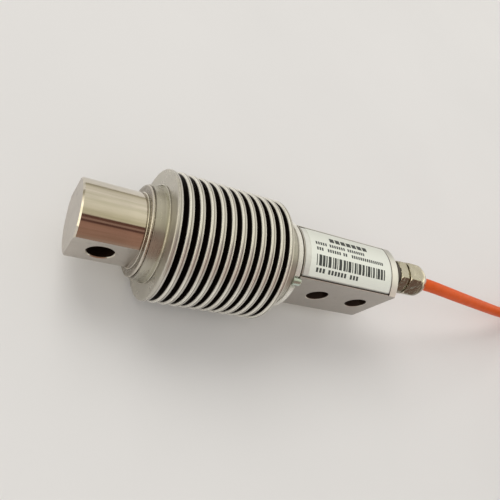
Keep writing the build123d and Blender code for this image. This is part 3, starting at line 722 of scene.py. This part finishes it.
@dataclass
class Bellows:
    """The convoluted bellows with its two cuffs and the seam beads that hold it."""

    radius: float = 21.75
    wall: float = 0.3
    folds: int = 12
    pitch: float = 3.6
    first_plate: float = 25.0
    load_cuff_radius: float = 15.33
    fixed_cuff_radius: float = 15.93
    load_cuff_start: float = 20.8
    fixed_cuff_end: float = 72.05
    load_bend: float = 1.35
    fixed_bend: float = 0.5
    flank: float = 0.93
    crown_power: float = 2.6
    segments: int = 144
    bead_ripples: int = 150
    bead_segments: int = 600

    def cuff_bend(self, plate: np.ndarray, cuff: float, bend: float, inset: float, way: int) -> np.ndarray:
        """Work out the quarter circle between a cuff and its end plate.

        With b the bend and i the inset, its centre lies b beyond the plate and b above the cuff, its
        radius is b + i, and it starts at the cuff at the load end and at the plate at the other.

        Args:
            plate: The end plate's station.
            cuff: The cuff's radius.
            bend: The bend's radius on the outer skin.
            inset: How far the line lies inside the outer skin.
            way: 1 at the load end and -1 at the other.

        Returns:
            Array of (station, radius) places.
        """
        corner = np.linspace(0.0, math.pi / 2, 9)[::way]
        reach = bend + inset
        x = plate - way * bend + way * reach * np.sin(corner)
        return pair(x, cuff - inset + reach * (1 - np.cos(corner)))

    def line(self, inset: float, crown_steps: int, valley_steps: int) -> np.ndarray:
        """Work out the bellows' line from cuff to cuff, moved inwards by inset.

        A crown is the upper half of |x/c|^p + |r/c|^p = 1 about (middle, crown height) with c the flank
        less inset, a valley a half circle between two flanks about (middle + half a pitch, valley
        height), and the cuffs join the end plates in quarter circles.

        Args:
            inset: How far the line lies inside the outer skin.
            crown_steps: Points round each crown.
            valley_steps: Points round each valley.

        Returns:
            Array of (station, radius) places.
        """
        crown = self.flank - inset
        root = self.pitch / 2 - self.flank + inset
        middle = self.first_plate + self.pitch / 4 + self.pitch * np.arange(self.folds)[:, None]
        bottom = self.load_cuff_radius + self.pitch / 2 - self.flank
        up = np.linspace(math.pi, 0.0, crown_steps)[None, :]
        down = np.linspace(math.pi, 2 * math.pi, valley_steps)[None, :]
        power = 2 / self.crown_power
        across = np.sign(np.cos(up)) * np.abs(np.cos(up)) ** power
        height = self.radius - self.flank + crown * np.abs(np.sin(up)) ** power
        crowns = pair(middle + crown * across, height)
        valleys = pair(middle + self.pitch / 2 + root * np.cos(down), bottom + root * np.sin(down))
        folds = np.concatenate([crowns, valleys], axis=1).reshape(-1, 2)[:-valley_steps]
        first, last = middle[0] - self.flank, middle[-1] + self.flank
        return np.concatenate([
            [[self.load_cuff_start, self.load_cuff_radius - inset]],
            self.cuff_bend(first, self.load_cuff_radius, self.load_bend, inset, 1),
            folds,
            self.cuff_bend(last, self.fixed_cuff_radius, self.fixed_bend, inset, -1),
            [[self.fixed_cuff_end, self.fixed_cuff_radius - inset]],
        ])

    def bead(self, name: str, place: float, radius: float, size: float, ripple: float) -> Piece:
        """Lay a rippled weld bead round the cell.

        The bead is a torus whose tube has the radius s (1 - q + q sin(k a + 0.6 cos b)) at angle a
        round the cell and b round the tube, with s the size, q the ripple and k the count of ripples.
        It is flattened along X to 0.8 of that.

        Args:
            name: Name of the piece.
            place: Station of the bead's middle.
            radius: The torus' radius.
            size: The tube's radius.
            ripple: Half the depth of a ripple, as a share of size.

        Returns:
            The bead.
        """
        angle = full_turn(self.bead_segments)[:, None]
        round_tube = full_turn(8)[None, :]
        ripples = np.sin(self.bead_ripples * angle + 0.6 * np.cos(round_tube))
        tube = size * (1 - ripple + ripple * ripples)
        x = place + 0.8 * tube * np.sin(round_tube)
        return wind(name, x, radius + tube * np.cos(round_tube), angle, smooth_angle=80.0)

    def build(self, finish: Metal, bead_finish: Metal) -> list[Piece]:
        """Build the bellows and the beads along its seams.

        Args:
            finish: The bellows' steel.
            bead_finish: The beads' steel.

        Returns:
            The bellows and its beads.
        """
        outline = np.concatenate([self.line(0.0, 17, 7), self.line(self.wall, 5, 5)[::-1]])
        bellows = turn_outline("bellows_folds", outline, self.segments)
        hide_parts("bellows")
        bellows.data.materials.append(finish.material())
        beads = [
            self.bead("load_ring_bead", 19.6, 12.38, 0.24, 0.03),
            self.bead("front_plate_bead", 24.62, 16.3, 0.17, 0.02),
        ]
        bead_material = bead_finish.material()
        for bead in beads:
            bead.data.materials.append(bead_material)
        return [bellows, *beads]


@dataclass
class Rings:
    """The two turned rings that carry the bellows, and the evacuation stub."""

    load_ring: Outline = (
        (19.7, 12.28), (19.7, 14.6), (19.98, 15.05), (20.3, 15.05), (20.32, 14.4), (20.74, 14.4),
        (20.76, 15.0), (24.3, 15.0), (24.3, 12.28),
    )
    fixed_ring: Outline = (
        (67.1, 13.63), (67.1, 15.6), (72.15, 15.6), (72.2, 15.85), (72.4, 16.15), (73.9, 16.15),
        (74.15, 15.9), (74.15, 13.63), (72.4, 13.63), (72.2, 13.63),
    )
    edge_round: float = 0.1
    ring_segments: int = 160
    flange_segments: int = 240
    notch_start: float = 72.3
    notch_side: float = 10.0
    notch_floor: float = 9.26
    stub_start: float = 72.0
    stub_end: float = 75.3
    stub_radius: float = 1.45
    stub_place: float = 15.66
    stub_angle: float = 135.9

    def build(self, ring_finish: Metal, flange_finish: Metal, stub_finish: Metal) -> list[Piece]:
        """Build the rings and the stub in their places.

        Args:
            ring_finish: The load end ring's steel.
            flange_finish: The flanged ring's steel.
            stub_finish: The stub's steel.

        Returns:
            The two rings and the stub.
        """
        load_outline = soften(self.load_ring, self.edge_round)
        load_ring = turn_outline("load_ring_turned", load_outline, self.ring_segments)
        fixed_ring = self.notched()
        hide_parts("load_end_ring")
        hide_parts("fixed_end_ring")
        for ring, finish in ((load_ring, ring_finish), (fixed_ring, flange_finish)):
            ring.data.materials.append(finish.material())
        return [load_ring, fixed_ring, self.stub(stub_finish)]

    def notched(self) -> Piece:
        """Build the fixed ring with a corner cut out of its flange, where the stub stands.

        The radius past notch_start is the lesser of the outline's and the greater of s / -cos a and
        f / sin a, with s the notch's side and f its floor, which is a square corner.

        Returns:
            The ring.
        """
        outline = soften(self.fixed_ring, self.edge_round)
        rim = max(radius for _, radius in self.fixed_ring)
        corners = [
            math.pi - math.acos(self.notch_side / rim),
            math.pi - math.atan2(self.notch_floor, self.notch_side),
            math.pi - math.asin(self.notch_floor / rim),
        ]
        angle = np.unique(np.concatenate([full_turn(self.flange_segments), corners]))[None, :]
        side = self.notch_side / np.maximum(-np.cos(angle), 0.01)
        floor = self.notch_floor / np.maximum(np.sin(angle), 0.01)
        x, r = outline[:, :1], outline[:, 1:]
        r = np.where(x > self.notch_start, np.minimum(r, np.maximum(side, floor)), r)
        return wind("fixed_ring_turned", x, r, angle)

    def stub(self, finish: Metal) -> Piece:
        """Build the pinched-off stub: a pin with a rounded rim and a dimple in its end.

        Args:
            finish: The stub's steel.

        Returns:
            The stub.
        """
        angle = math.radians(self.stub_angle)
        centre = (self.stub_place * math.cos(angle), AXIS_HEIGHT + self.stub_place * math.sin(angle))
        r, end = self.stub_radius, self.stub_end
        outline = [
            (self.stub_start, 0.0), (self.stub_start, r), (end - 0.35, r), (end, r - 0.3),
            (end, 0.62 * r), (end - 0.22, 0.4 * r), (end - 0.45, 0.0),
        ]
        stub = turn_outline("stub_pin", soften(outline, 0.14), 48, centre)
        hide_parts("evacuation_stub")
        stub.data.materials.append(finish.material())
        return stub


@dataclass
class Label:
    """The foil label laid round the cover, with rows of plain blocks and bars where print would be.

    A row is (arc of its middle, block height, block width, gap), a word (its start, count of blocks).
    """

    start: float = 77.4
    length: float = 38.0
    half_width: float = 9.05
    radius: float = 16.0
    thickness: float = 0.12
    rows: tuple[tuple[float, float, float, float], ...] = (
        (5.7, 1.9, 2.1, 0.55), (3.0, 1.25, 0.72, 0.34), (0.75, 1.25, 0.72, 0.34), (-7.1, 1.6, 0.95, 0.5),
    )
    words: tuple[tuple[tuple[float, int], ...], ...] = (
        ((9.4, 7),),
        ((2.4, 5), (8.7, 7), (17.1, 8)),
        ((2.6, 3), (7.4, 6), (14.6, 2), (18.6, 15)),
        ((2.6, 3), (8.0, 6), (18.0, 3)),
    )
    bar_row: tuple[float, float, float, float] = (2.4, 35.8, -5.5, -1.5)
    bar_widths: tuple[float, ...] = (0.4, 1.3, 1.1, 0.6, 1.3, 0.45, 0.9)
    bar_gaps: tuple[float, ...] = (0.65, 0.32, 0.36, 0.5)
    most_bars: int = 40

    def boxes(self) -> np.ndarray:
        """List the printed rectangles.

        A word is a run of equal blocks; the upright bars take their widths and gaps in turn from two
        short lists until the row is full.

        Returns:
            Array of (x low, x high, arc low, arc high).
        """
        printed = []
        for (middle, tall, wide, gap), row in zip(self.rows, self.words):
            for first, count in row:
                low = first + np.arange(count) * (wide + gap)
                edges = np.full_like(low, middle)
                printed.append(np.stack([low, low + wide, edges - tall / 2, edges + tall / 2], axis=-1))
        first, last, bottom, top = self.bar_row
        widths = np.resize(self.bar_widths, self.most_bars)
        gaps = np.resize(self.bar_gaps, self.most_bars)
        ends = first + np.cumsum(widths + gaps) - gaps
        bars = np.stack(np.broadcast_arrays(ends - widths, ends, bottom, top), axis=-1)
        return np.concatenate([*printed, bars[ends < last]])

    def plate(self, boxes: np.ndarray) -> Piece:
        """Build a closed curved plate whose grid lines run along the printed rectangles' edges.

        The point at length u, arc v and radius r is (start + u, r sin(v / R), z0 + r cos(v / R)).

        Args:
            boxes: The printed rectangles.

        Returns:
            The plate.
        """
        edge = self.radius * math.asin(self.half_width / self.radius)
        along = np.unique(np.concatenate([[0.0, self.length], boxes[:, 0], boxes[:, 1]]))
        across = np.unique(np.concatenate([np.linspace(-edge, edge, 25), boxes[:, 2], boxes[:, 3]]))
        u, turn = np.broadcast_arrays(along[:, None], across[None, :] / self.radius)
        sheets = [
            np.stack([station(self.start) + u, r * np.sin(turn), AXIS_HEIGHT + r * np.cos(turn)], axis=-1)
            for r in (self.radius, self.radius + self.thickness)
        ]
        number = np.arange(u.size).reshape(u.shape)
        rim = np.concatenate([number[0, :-1], number[:-1, -1], number[-1, :0:-1], number[:0:-1, 0]])
        skirt = np.stack([rim, np.roll(rim, -1), np.roll(rim, -1) + u.size, rim + u.size], axis=-1)
        faces = grid_faces(*u.shape)
        return make_object(
            "label_foil_plate",
            np.concatenate([sheet.reshape(-1, 3) for sheet in sheets]),
            np.concatenate([faces + u.size, faces[:, ::-1], skirt]),
            50.0,
        )

    def build(self, foil: Foil, ink: Foil) -> list[Piece]:
        """Build the label and ink the outer faces that lie inside a printed rectangle.

        Args:
            foil: The label's finish.
            ink: The print's finish.

        Returns:
            The label.
        """
        boxes = self.boxes()
        label = self.plate(boxes)
        middle = np.empty(len(label.data.polygons) * 3)
        label.data.polygons.foreach_get("center", middle)
        middle = middle.reshape(-1, 3) / MM
        place = middle[:, :1] - station(self.start)
        arc = self.radius * np.arctan2(middle[:, 1:2], middle[:, 2:3] - AXIS_HEIGHT)
        reach = np.linalg.norm(middle[:, 1:] - AXIS, axis=1)
        inside = (place > boxes[:, 0]) & (place < boxes[:, 1]) & (arc > boxes[:, 2]) & (arc < boxes[:, 3])
        printed = inside.any(axis=1) & (reach > self.radius + 0.7 * self.thickness)
        label.data.materials.append(foil.material())
        label.data.materials.append(ink.material())
        label.data.polygons.foreach_set("material_index", printed.astype(np.int32))
        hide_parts("rating_label")
        return [label]


@dataclass
class Gland:
    """The plated cable gland: screwed body, domed nut, seal and gasket."""

    height: float = 10.8
    corner_angle: float = 55.0
    body_flats: float = 12.0
    nut_flats: float = 12.5
    edge_round: float = 0.16
    segments: int = 240
    round_segments: int = 96
    lower: Outline = (
        (113.0, 2.7), (113.0, 3.7), (120.8, 3.7), (120.8, 6.35), (121.1, 7.0), (124.2, 7.0),
        (124.5, 6.35), (124.5, 4.9), (131.1, 4.9), (131.1, 3.9), (127.1, 3.9), (127.1, 2.7),
    )
    thread_run: Range = (124.45, 125.55)
    thread_radius: float = 5.0
    thread_depth: float = 0.16
    thread_pitch: float = 0.9
    thread_bore: float = 4.6
    nut_radius: float = 7.2
    nut_front: Outline = ((125.4, 5.0), (125.4, 6.5), (125.75, 7.2), (129.6, 7.2))
    hexagon_run: Range = (125.8, 129.5)
    nut_bore: Outline = ((136.4, 4.2), (136.3, 3.55), (135.5, 3.5), (134.2, 4.95), (125.5, 4.95))
    dome_start: float = 129.6
    dome_length: float = 6.8
    nose_radius: float = 4.4
    dome_power: float = 0.9
    lip: Outline = (
        (127.1, 2.72), (127.1, 3.8), (131.1, 3.8), (134.1, 3.4), (136.9, 3.4), (137.4, 2.95),
        (137.4, 2.9), (136.6, 2.72),
    )
    gasket: Outline = ((120.0, 3.75), (120.0, 5.5), (120.8, 5.5), (120.8, 3.75))

    @property
    def centre(self) -> Range:
        """The gland's line along X, as (y, z)."""
        return 0.0, AXIS_HEIGHT + self.height

    def hexed(self, name: str, outline: np.ndarray, flats: float) -> Piece:
        """Turn an outline round the gland's axis and cut it to a hexagon with soft edges.

        At angle a the hexagon's radius is h = half the flats / cos(angle from the nearest flat's middle),
        and the outline's radius r becomes the soft lesser of the two, -k ln(exp(-r/k) + exp(-h/k)).

        Args:
            name: Name of the piece.
            outline: Array of (station, radius) places.
            flats: The hexagon's size over its flats.

        Returns:
            The piece.
        """
        angle = full_turn(self.segments)[None, :]
        off = (angle - math.radians(self.corner_angle)) % (math.pi / 3) - math.pi / 6
        flat = flats / 2 / np.cos(off)
        r = outline[:, 1:]
        k = self.edge_round
        least = np.minimum(r, flat)
        soft = least - k * np.log(np.exp(-(r - least) / k) + np.exp(-(flat - least) / k))
        r = np.where(r > 0.75 * flats / 2, soft, r)
        return wind(name, outline[:, :1], r, angle, self.centre, 30.0)

    def thread(self) -> Piece:
        """Build the thread seen between the body's hexagon and the nut.

        The radius at station x and angle a is r0 + d cos(2 pi x / pitch - a), which winds once round
        for each pitch. Both ends go down to the thread's bore.

        Returns:
            The thread.
        """
        x = np.linspace(*self.thread_run, 23)[:, None]
        angle = full_turn(self.round_segments)[None, :]
        r = self.thread_radius + self.thread_depth * np.cos(2 * math.pi * x / self.thread_pitch - angle)
        bore = np.full_like(r[:1], self.thread_bore)
        r = np.concatenate([bore, r, bore])
        x = np.concatenate([x[:1], x, x[-1:]])
        return wind("gland_thread", x, r, angle, self.centre, 60.0)

    def nut(self) -> Piece:
        """Build the domed nut.

        From the hexagon's end to the nose, at share t, the dome's radius is n + (R - n) cos(pi t / 2)^p,
        with n the nose's radius, R the nut's and p the dome's power.

        Returns:
            The nut.
        """
        t = np.linspace(0.0, 1.0, 18)
        drop = self.nut_radius - self.nose_radius
        radius = self.nose_radius + drop * np.cos(t * math.pi / 2) ** self.dome_power
        dome = pair(self.dome_start + self.dome_length * t, radius)
        front = soften(self.nut_front, 0.12, 3)[3:-3]
        straight = pair(np.linspace(*self.hexagon_run, 10), self.nut_radius)
        outline = np.concatenate([front, straight, dome, self.nut_bore])
        return self.hexed("gland_dome_nut", outline, self.nut_flats)

    def build(self, plated: Metal, rubber: Plastic, fibre: Plastic) -> list[Piece]:
        """Build the gland's visible pieces.

        Args:
            plated: The body's, thread's and nut's finish.
            rubber: The seal's finish.
            fibre: The gasket's finish.

        Returns:
            The body, thread, nut, seal and gasket.
        """
        metal = plated.material()
        body = self.hexed("gland_lower", soften(self.lower, 0.12, 3), self.body_flats)
        pieces = [body, self.thread(), self.nut()]
        for piece in pieces:
            piece.data.materials.append(metal)
        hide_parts("gland_body")
        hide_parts("gland_nut")
        seal = turn_outline("gland_seal_lip", soften(self.lip, 0.12), self.round_segments, self.centre)
        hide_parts("gland_seal")
        seal.data.materials.append(rubber.material())
        gasket = soften(self.gasket, 0.15)
        gasket = turn_outline("gland_gasket_ring", gasket, self.round_segments, self.centre)
        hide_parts("gland_gasket")
        gasket.data.materials.append(fibre.material())
        return [*pieces, seal, gasket]


# The cable


class Lane(Enum):
    """The two lanes of the hank, by the radius of their end bends in millimetres."""

    INNER = 15.6
    OUTER = 20.8


@dataclass
class Cable:
    """The cell's cable: its free stretch, and the rest in a tied hank that ends bare."""

    diameter: float = 5.2
    length: float = 3.0
    lift: float = 1.3
    exit_point: Point = (68.7, 0.0, 32.55)
    route: tuple[Point, ...] = (
        (52.35, 0.0, 32.55),
        (70.85, 0.0, 32.55),
        (91.65, 0.4, 28.65),
        (119.85, 1.8, 22.3),
        (156.0, 4.64, 12.92),
        (175.5, 9.2, 7.6),
        (191.0, 14.8, 3.9),
        (206.0, 14.8, 3.9),
    )
    near: float = 221.2
    straight: float = 74.0
    middle: float = -6.0
    layers: int = 6
    change: float = 20.0
    end_run: float = 12.0
    spacing: float = 8.0

    def lanes_and_layers(self, s: np.ndarray, lap: float) -> tuple[np.ndarray, np.ndarray]:
        """Work out the lane's radius and the layer at each way along the hank.

        A change of lane or of layer is a smooth step of the length change, each one that much earlier
        round the oval than the one before, so the turns never meet: odd changes cross between the
        lanes, even ones climb a layer.

        Args:
            s: Ways along the oval, in millimetres.
            lap: The way once round.

        Returns:
            The radius and the layer at each way.
        """
        change = np.arange(2 * self.layers - 1)
        starts = (lap - self.change) * (change + 1)
        step = np.clip((s[:, None] - starts[None, :]) / self.change, 0.0, 1.0)
        step = step * step * (3 - 2 * step)
        swap = np.where(change % 4 == 0, -1.0, 1.0) * (change % 2 == 0)
        radius = Lane.OUTER.value + (step * swap).sum(axis=1) * self.diameter
        return radius, (step * (change % 2 == 1)).sum(axis=1)

    def hank_points(self) -> np.ndarray:
        """Work out the hank's turns as control points of the cable's spline.

        The way along the oval is s. On an end bend the control points stand out by
        1 / (0.375 + 0.5 cos(d / 2) + 0.125 cos(d)), so that the spline keeps the lane's radius.

        Returns:
            Array of (count, 3) places in millimetres.
        """
        mean = (Lane.INNER.value + Lane.OUTER.value) / 2
        bend = math.pi * mean
        half = self.straight + bend
        end = (2 * self.layers - 2) * 2 * half + half + self.end_run
        steps = round((end - self.spacing) / self.spacing)
        s = np.arange(self.spacing, end + 0.01, (end - self.spacing) / steps)
        radius, layer = self.lanes_and_layers(s, 2 * half)
        way = s % (2 * half)
        on_far = (way > self.straight) & (way < half)
        on_back = (way >= half) & (way < half + self.straight)
        on_near = way >= half + self.straight
        far = self.near + self.straight
        turn = np.where(on_far, way - self.straight, way - half - self.straight) / mean
        gap = self.spacing / mean
        proud = 1.0 / (0.375 + 0.5 * math.cos(gap / 2) + 0.125 * math.cos(gap))
        reach = radius * np.where(on_far | on_near, proud, 1.0)
        ends = [on_far, on_back, on_near]
        x = np.select(
            ends, [far + reach * np.sin(turn), far - (way - half), self.near - reach * np.sin(turn)],
            self.near + way,
        )
        y = np.select(ends, [reach * np.cos(turn), -reach, -reach * np.cos(turn)], reach)
        z = self.diameter / 2 + self.lift + layer * self.diameter
        return np.stack([x, self.middle + y, z], axis=-1)

    def build(self, jacket: Plastic) -> list[Piece]:
        """Build the whole cable as one spline with its route's points as control points.

        Args:
            jacket: The cable's finish.

        Returns:
            The cable.
        """
        curve = bpy.data.curves.new("cable_line", "CURVE")
        curve.dimensions = "3D"
        curve.bevel_depth = self.diameter / 2 * MM
        curve.bevel_resolution = 5
        curve.use_fill_caps = True
        curve.resolution_u = 5
        turns_start = (self.near, *self.route[-1][1:])
        points = np.concatenate([[*self.route, turns_start], self.hank_points()]) * MM
        spline = curve.splines.new("NURBS")
        spline.points.add(len(points) - 1)
        spline.points.foreach_set("co", np.concatenate([points, np.ones((len(points), 1))], axis=1).ravel())
        spline.order_u = 3
        spline.use_endpoint_u = True
        cable = link_object("cable_line", curve)
        curve.materials.append(jacket.material())
        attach(cable, ROOT)
        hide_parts("cable", "cable_hank")
        return [cable]


# The studio


@dataclass
class Studio:
    """The camera, the pale floor and the soft light, with places and sizes in metres."""

    camera_place: Point = (-0.0926761, -0.0737003, 0.1614317)
    camera_target: Point = (-0.0064653, 0.0025302, 0.02175)
    camera_roll: float = 54.3204
    focal_length: float = 36.173
    sensor_width: float = 36.0
    nearest_seen: float = 0.005
    floor_size: float = 6.0
    floor_colour: Colour = (0.80, 0.775, 0.735)
    backdrop: Colour = (0.78, 0.76, 0.73)
    window: Colour = (1.7, 1.6, 1.32)
    window_edge: Range = (0.80, 0.93)
    sky_colour: Colour = (0.93, 0.93, 0.94)
    sky: float = 0.57
    room: tuple[tuple[float, Colour], ...] = (
        (0.0, (0.40, 0.36, 0.28)),
        (0.07, (0.62, 0.59, 0.49)),
        (0.16, (0.82, 0.78, 0.70)),
        (0.40, (0.76, 0.73, 0.60)),
        (0.57, (0.62, 0.57, 0.43)),
        (0.585, (0.10, 0.045, 0.03)),
        (0.62, (0.13, 0.06, 0.045)),
        (0.63, (0.30, 0.19, 0.15)),
        (0.65, (0.28, 0.17, 0.13)),
        (0.66, (0.09, 0.04, 0.03)),
        (0.68, (0.10, 0.045, 0.035)),
        (0.70, (0.31, 0.17, 0.125)),
        (0.90, (0.31, 0.18, 0.135)),
        (1.0, (0.40, 0.33, 0.29)),
    )
    lamps: tuple[tuple[str, Point, float, float], ...] = (
        ("key_lamp", (-0.60, 1.05, 1.40), 1.1, 12.5),
        ("fill_lamp", (-0.60, -0.50, 1.15), 0.9, 3.6),
        ("side_lamp", (0.45, 0.30, 0.35), 0.25, 0.22),
    )
    lamp_target: Point = (0.0, 0.0, 0.02)

    def aim(self, place: Point, target: Point) -> Matrix:
        """The matrix of an object at place that looks at target."""
        look = (Vector(target) - Vector(place)).to_track_quat("-Z", "Y").to_matrix().to_4x4()
        return Matrix.Translation(Vector(place)) @ look

    def camera(self) -> None:
        """Set the camera where the photograph was taken from."""
        data = bpy.data.cameras.new("camera")
        data.lens = self.focal_length
        data.sensor_width = self.sensor_width
        data.clip_start = self.nearest_seen
        camera = link_object("camera", data)
        turn = Matrix.Rotation(math.radians(self.camera_roll), 4, "Z")
        camera.matrix_world = self.aim(self.camera_place, self.camera_target) @ turn
        bpy.context.scene.camera = camera

    def floor(self) -> None:
        """Lay the pale floor, a flat grid of quads with a paper grain."""
        side = np.linspace(-self.floor_size / 2, self.floor_size / 2, 7)
        x, y = np.meshgrid(side, side, indexing="ij")
        points = np.stack([x, y, np.zeros_like(x)], axis=-1).reshape(-1, 3)
        mesh = bpy.data.meshes.new("floor")
        mesh.from_pydata(points.tolist(), [], grid_faces(7, 7)[:, ::-1].tolist())
        floor = link_object("floor", mesh)
        n = Nodes("floor_paper")
        cloud = n.span(n.noise(9.0), 0.3, 0.7)
        colour = n.mix(cloud, self.floor_colour, shade(self.floor_colour, 0.97))
        normal = n.bump(n.noise(1400.0, 4.0, 0.6), 0.12, 0.00004)
        mesh.materials.append(n.finish(Base_Color=colour, Roughness=0.85, Normal=normal))

    def mirrored(self, n: Graph) -> Socket:
        """Colour the room that the metal mirrors.

        It depends on the angle about the cell's axis, atan2(z, y) of the direction, with a bright
        window beyond each end of the cell.

        Args:
            n: The surroundings' nodes.

        Returns:
            The room's colour.
        """
        way = n.add("ShaderNodeTexCoord").outputs["Generated"]
        split = n.add("ShaderNodeSeparateXYZ", {0: way}).outputs
        angle = n.math("ARCTAN2", split["Z"], split["Y"])
        room = n.add("ShaderNodeValToRGB", {0: n.math("DIVIDE", angle, math.pi)})
        stops = room.color_ramp.elements
        for place, colour in self.room[1:-1]:
            stops.new(place).color = (*colour, 1.0)
        for stop, (place, colour) in ((stops[0], self.room[0]), (stops[-1], self.room[-1])):
            stop.position = place
            stop.color = (*colour, 1.0)
        ahead = n.span(n.math("ABSOLUTE", split["X"]), *self.window_edge)
        return n.mix(ahead, room.outputs["Color"], self.window)

    def world(self) -> None:
        """Set the surroundings: even pale light, a backdrop, and the room for the metal to mirror."""
        world = bpy.data.worlds.new("surroundings")
        bpy.context.scene.world = world
        world.use_nodes = True
        world.node_tree.nodes.clear()
        n = Graph(world.node_tree)
        sky = {"Color": (*self.sky_colour, 1.0), "Strength": self.sky}
        seen = n.add("ShaderNodeBackground", sky).outputs[0]
        rays = n.add("ShaderNodeLightPath").outputs
        shown = {"Is Glossy Ray": self.mirrored(n), "Is Camera Ray": (*self.backdrop, 1.0)}
        for ray, colour in shown.items():
            other = n.add("ShaderNodeBackground", {"Color": colour}).outputs[0]
            seen = n.add("ShaderNodeMixShader", {0: rays[ray], 1: seen, 2: other}).outputs[0]
        n.add("ShaderNodeOutputWorld", {"Surface": seen})

    def lamp(self, name: str, place: Point, size: float, power: float) -> None:
        """Hang a square soft lamp that points at the cell.

        Args:
            name: Name of the lamp.
            place: Where it hangs.
            size: Its side.
            power: Its power in watts.
        """
        data = bpy.data.lights.new(name, "AREA")
        data.shape = "SQUARE"
        data.size = size
        data.energy = power
        lamp = link_object(name, data)
        lamp.matrix_world = self.aim(place, self.lamp_target)
        lamp.visible_glossy = False

    def build(self) -> None:
        """Set up the whole studio."""
        bpy.context.scene.view_settings.view_transform = "Standard"
        self.camera()
        self.floor()
        self.world()
        for lamp in self.lamps:
            self.lamp(*lamp)


# Finishes of kept nodes


def node_finishes() -> dict[str, Metal | BodySteel | Plastic]:
    """List the finishes of the CAD nodes that stay.

    Returns:
        A finish for each start of a node's name.
    """
    finishes = {
        "measuring_body": BodySteel(),
        "terminal_cover": Metal("cover_steel", (0.86, 0.855, 0.785), 0.34, Grain.MILLED, metallic=0.4),
        "strain_gauge": Plastic("gauge_film", (0.62, 0.34, 0.08), 0.2, 1600.0),
        "terminal_strip": Plastic("strip_laminate", (0.62, 0.50, 0.24), 0.4, 2000.0),
        "gauge_leads": Plastic("lead_sleeving", (0.70, 0.68, 0.62), 0.6, 2400.0, 0.00006),
        "board_pad": Plastic("pad_foam", (0.12, 0.12, 0.13), 0.8, 2400.0, 0.0001),
        "compensation_board": Plastic("board_laminate", (0.05, 0.24, 0.12), 0.35, 1800.0),
        "gland_clamp": Plastic("clamp_nylon", (0.78, 0.77, 0.72), 0.4),
        "trim_resistor": Plastic("resistor_lacquer", (0.40, 0.52, 0.62), 0.25, 1200.0),
        "hank_tie": Plastic("tie_nylon", (0.03, 0.03, 0.03), 0.4, 700.0, 0.00005),
        "jacket_sleeve": Plastic("shrink_sleeve", (0.04, 0.04, 0.04), 0.5, 500.0, 0.00005),
    }
    for name in ("gauge_side_posts", "cable_side_posts", "ferrules"):
        finishes[name] = Metal("tinned_brass", (0.72, 0.71, 0.68), 0.25)
    cores = {
        "red": (0.60, 0.04, 0.03),
        "black": (0.03, 0.03, 0.03),
        "green": (0.04, 0.30, 0.08),
        "white": (0.80, 0.80, 0.77),
    }
    for name, colour in cores.items():
        for part in ("inner_core", "tail"):
            finishes[f"{part}_{name}"] = Plastic(f"core_{name}", colour, 0.3)
    return finishes


def dress_nodes() -> int:
    """Give every CAD node that stays a finish of its own.

    Returns:
        How many nodes were dressed.
    """
    finishes = node_finishes()
    made: dict[str, bpy.types.Material] = {}
    dressed = 0
    for name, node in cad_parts.items():
        finish = next((kind for key, kind in finishes.items() if name.startswith(key)), None)
        if finish is None or node.hide_render:
            continue
        if finish.name not in made:
            made[finish.name] = finish.material()
        node.material_slots[0].material = made[finish.name]
        dressed += 1
    return dressed


def report(pieces: Sequence[Piece]) -> None:
    """Log each piece's name and how many points it has.

    Args:
        pieces: The pieces to report.
    """
    for piece in pieces:
        size = len(piece.data.vertices) if piece.type == "MESH" else len(piece.data.splines[0].points)
        LOG.info("%s: %d points", piece.name, size)


def main() -> None:
    """Build the load cell, its cable and the studio."""
    logging.basicConfig(level=logging.INFO, format="%(name)s: %(message)s")
    Studio().build()
    jacket = Plastic("cable_jacket", (0.72, 0.092, 0.006), 0.5, 700.0, 0.00003, 0.05, specular=0.2)
    report(Cable().build(jacket))
    bellows_steel = BellowsSteel("bellows_steel", (0.62, 0.59, 0.515), 0.27, depth=0.0000015, metallic=0.62)
    bead_steel = Metal("bead_steel", (0.80, 0.77, 0.68), 0.2, Grain.SATIN)
    report(Bellows().build(bellows_steel, bead_steel))
    # Painted shade on the load ring's end faces.
    painted_end_face_shade = (0.27, 0.235, 0.19)
    ring_steel = Metal(
        "ring_steel", (0.76, 0.71, 0.62), 0.2, metallic=0.95, scratches=0.6, painted_side_shade=painted_end_face_shade
    )
    stub_steel = Metal("stub_steel", (0.62, 0.71, 0.62), 0.22, Grain.SATIN, metallic=0.85)
    flange_steel = Metal("flange_steel", (0.92, 0.89, 0.80), 0.24, metallic=0.4)
    report(Rings().build(ring_steel, flange_steel, stub_steel))
    foil = Foil("label_foil", (0.86, 0.87, 0.765), 0.10, 0.32)
    ink = Foil("label_ink", (0.045, 0.05, 0.045), 0.0, 0.5)
    report(Label().build(foil, ink))
    # Painted shade on the gland's facets that look low and to the front, and on those facing the opposite
    # way.
    low_front = (0.0, -0.82, 0.57)
    plated = Metal(
        "nickel_brass", (0.66, 0.625, 0.52), 0.12, Grain.SATIN, dents=0.8,
        side=low_front, painted_side_shade=(0.30, 0.28, 0.225),
    )
    rubber = Plastic("seal_rubber", (0.50, 0.56, 0.44), 0.5, glow=0.2)
    fibre = Plastic("gasket_fibre", (0.10, 0.085, 0.07), 0.6)
    report(Gland().build(plated, rubber, fibre))
    LOG.info("kept nodes dressed: %d", dress_nodes())


if __name__ == "__main__":
    main()
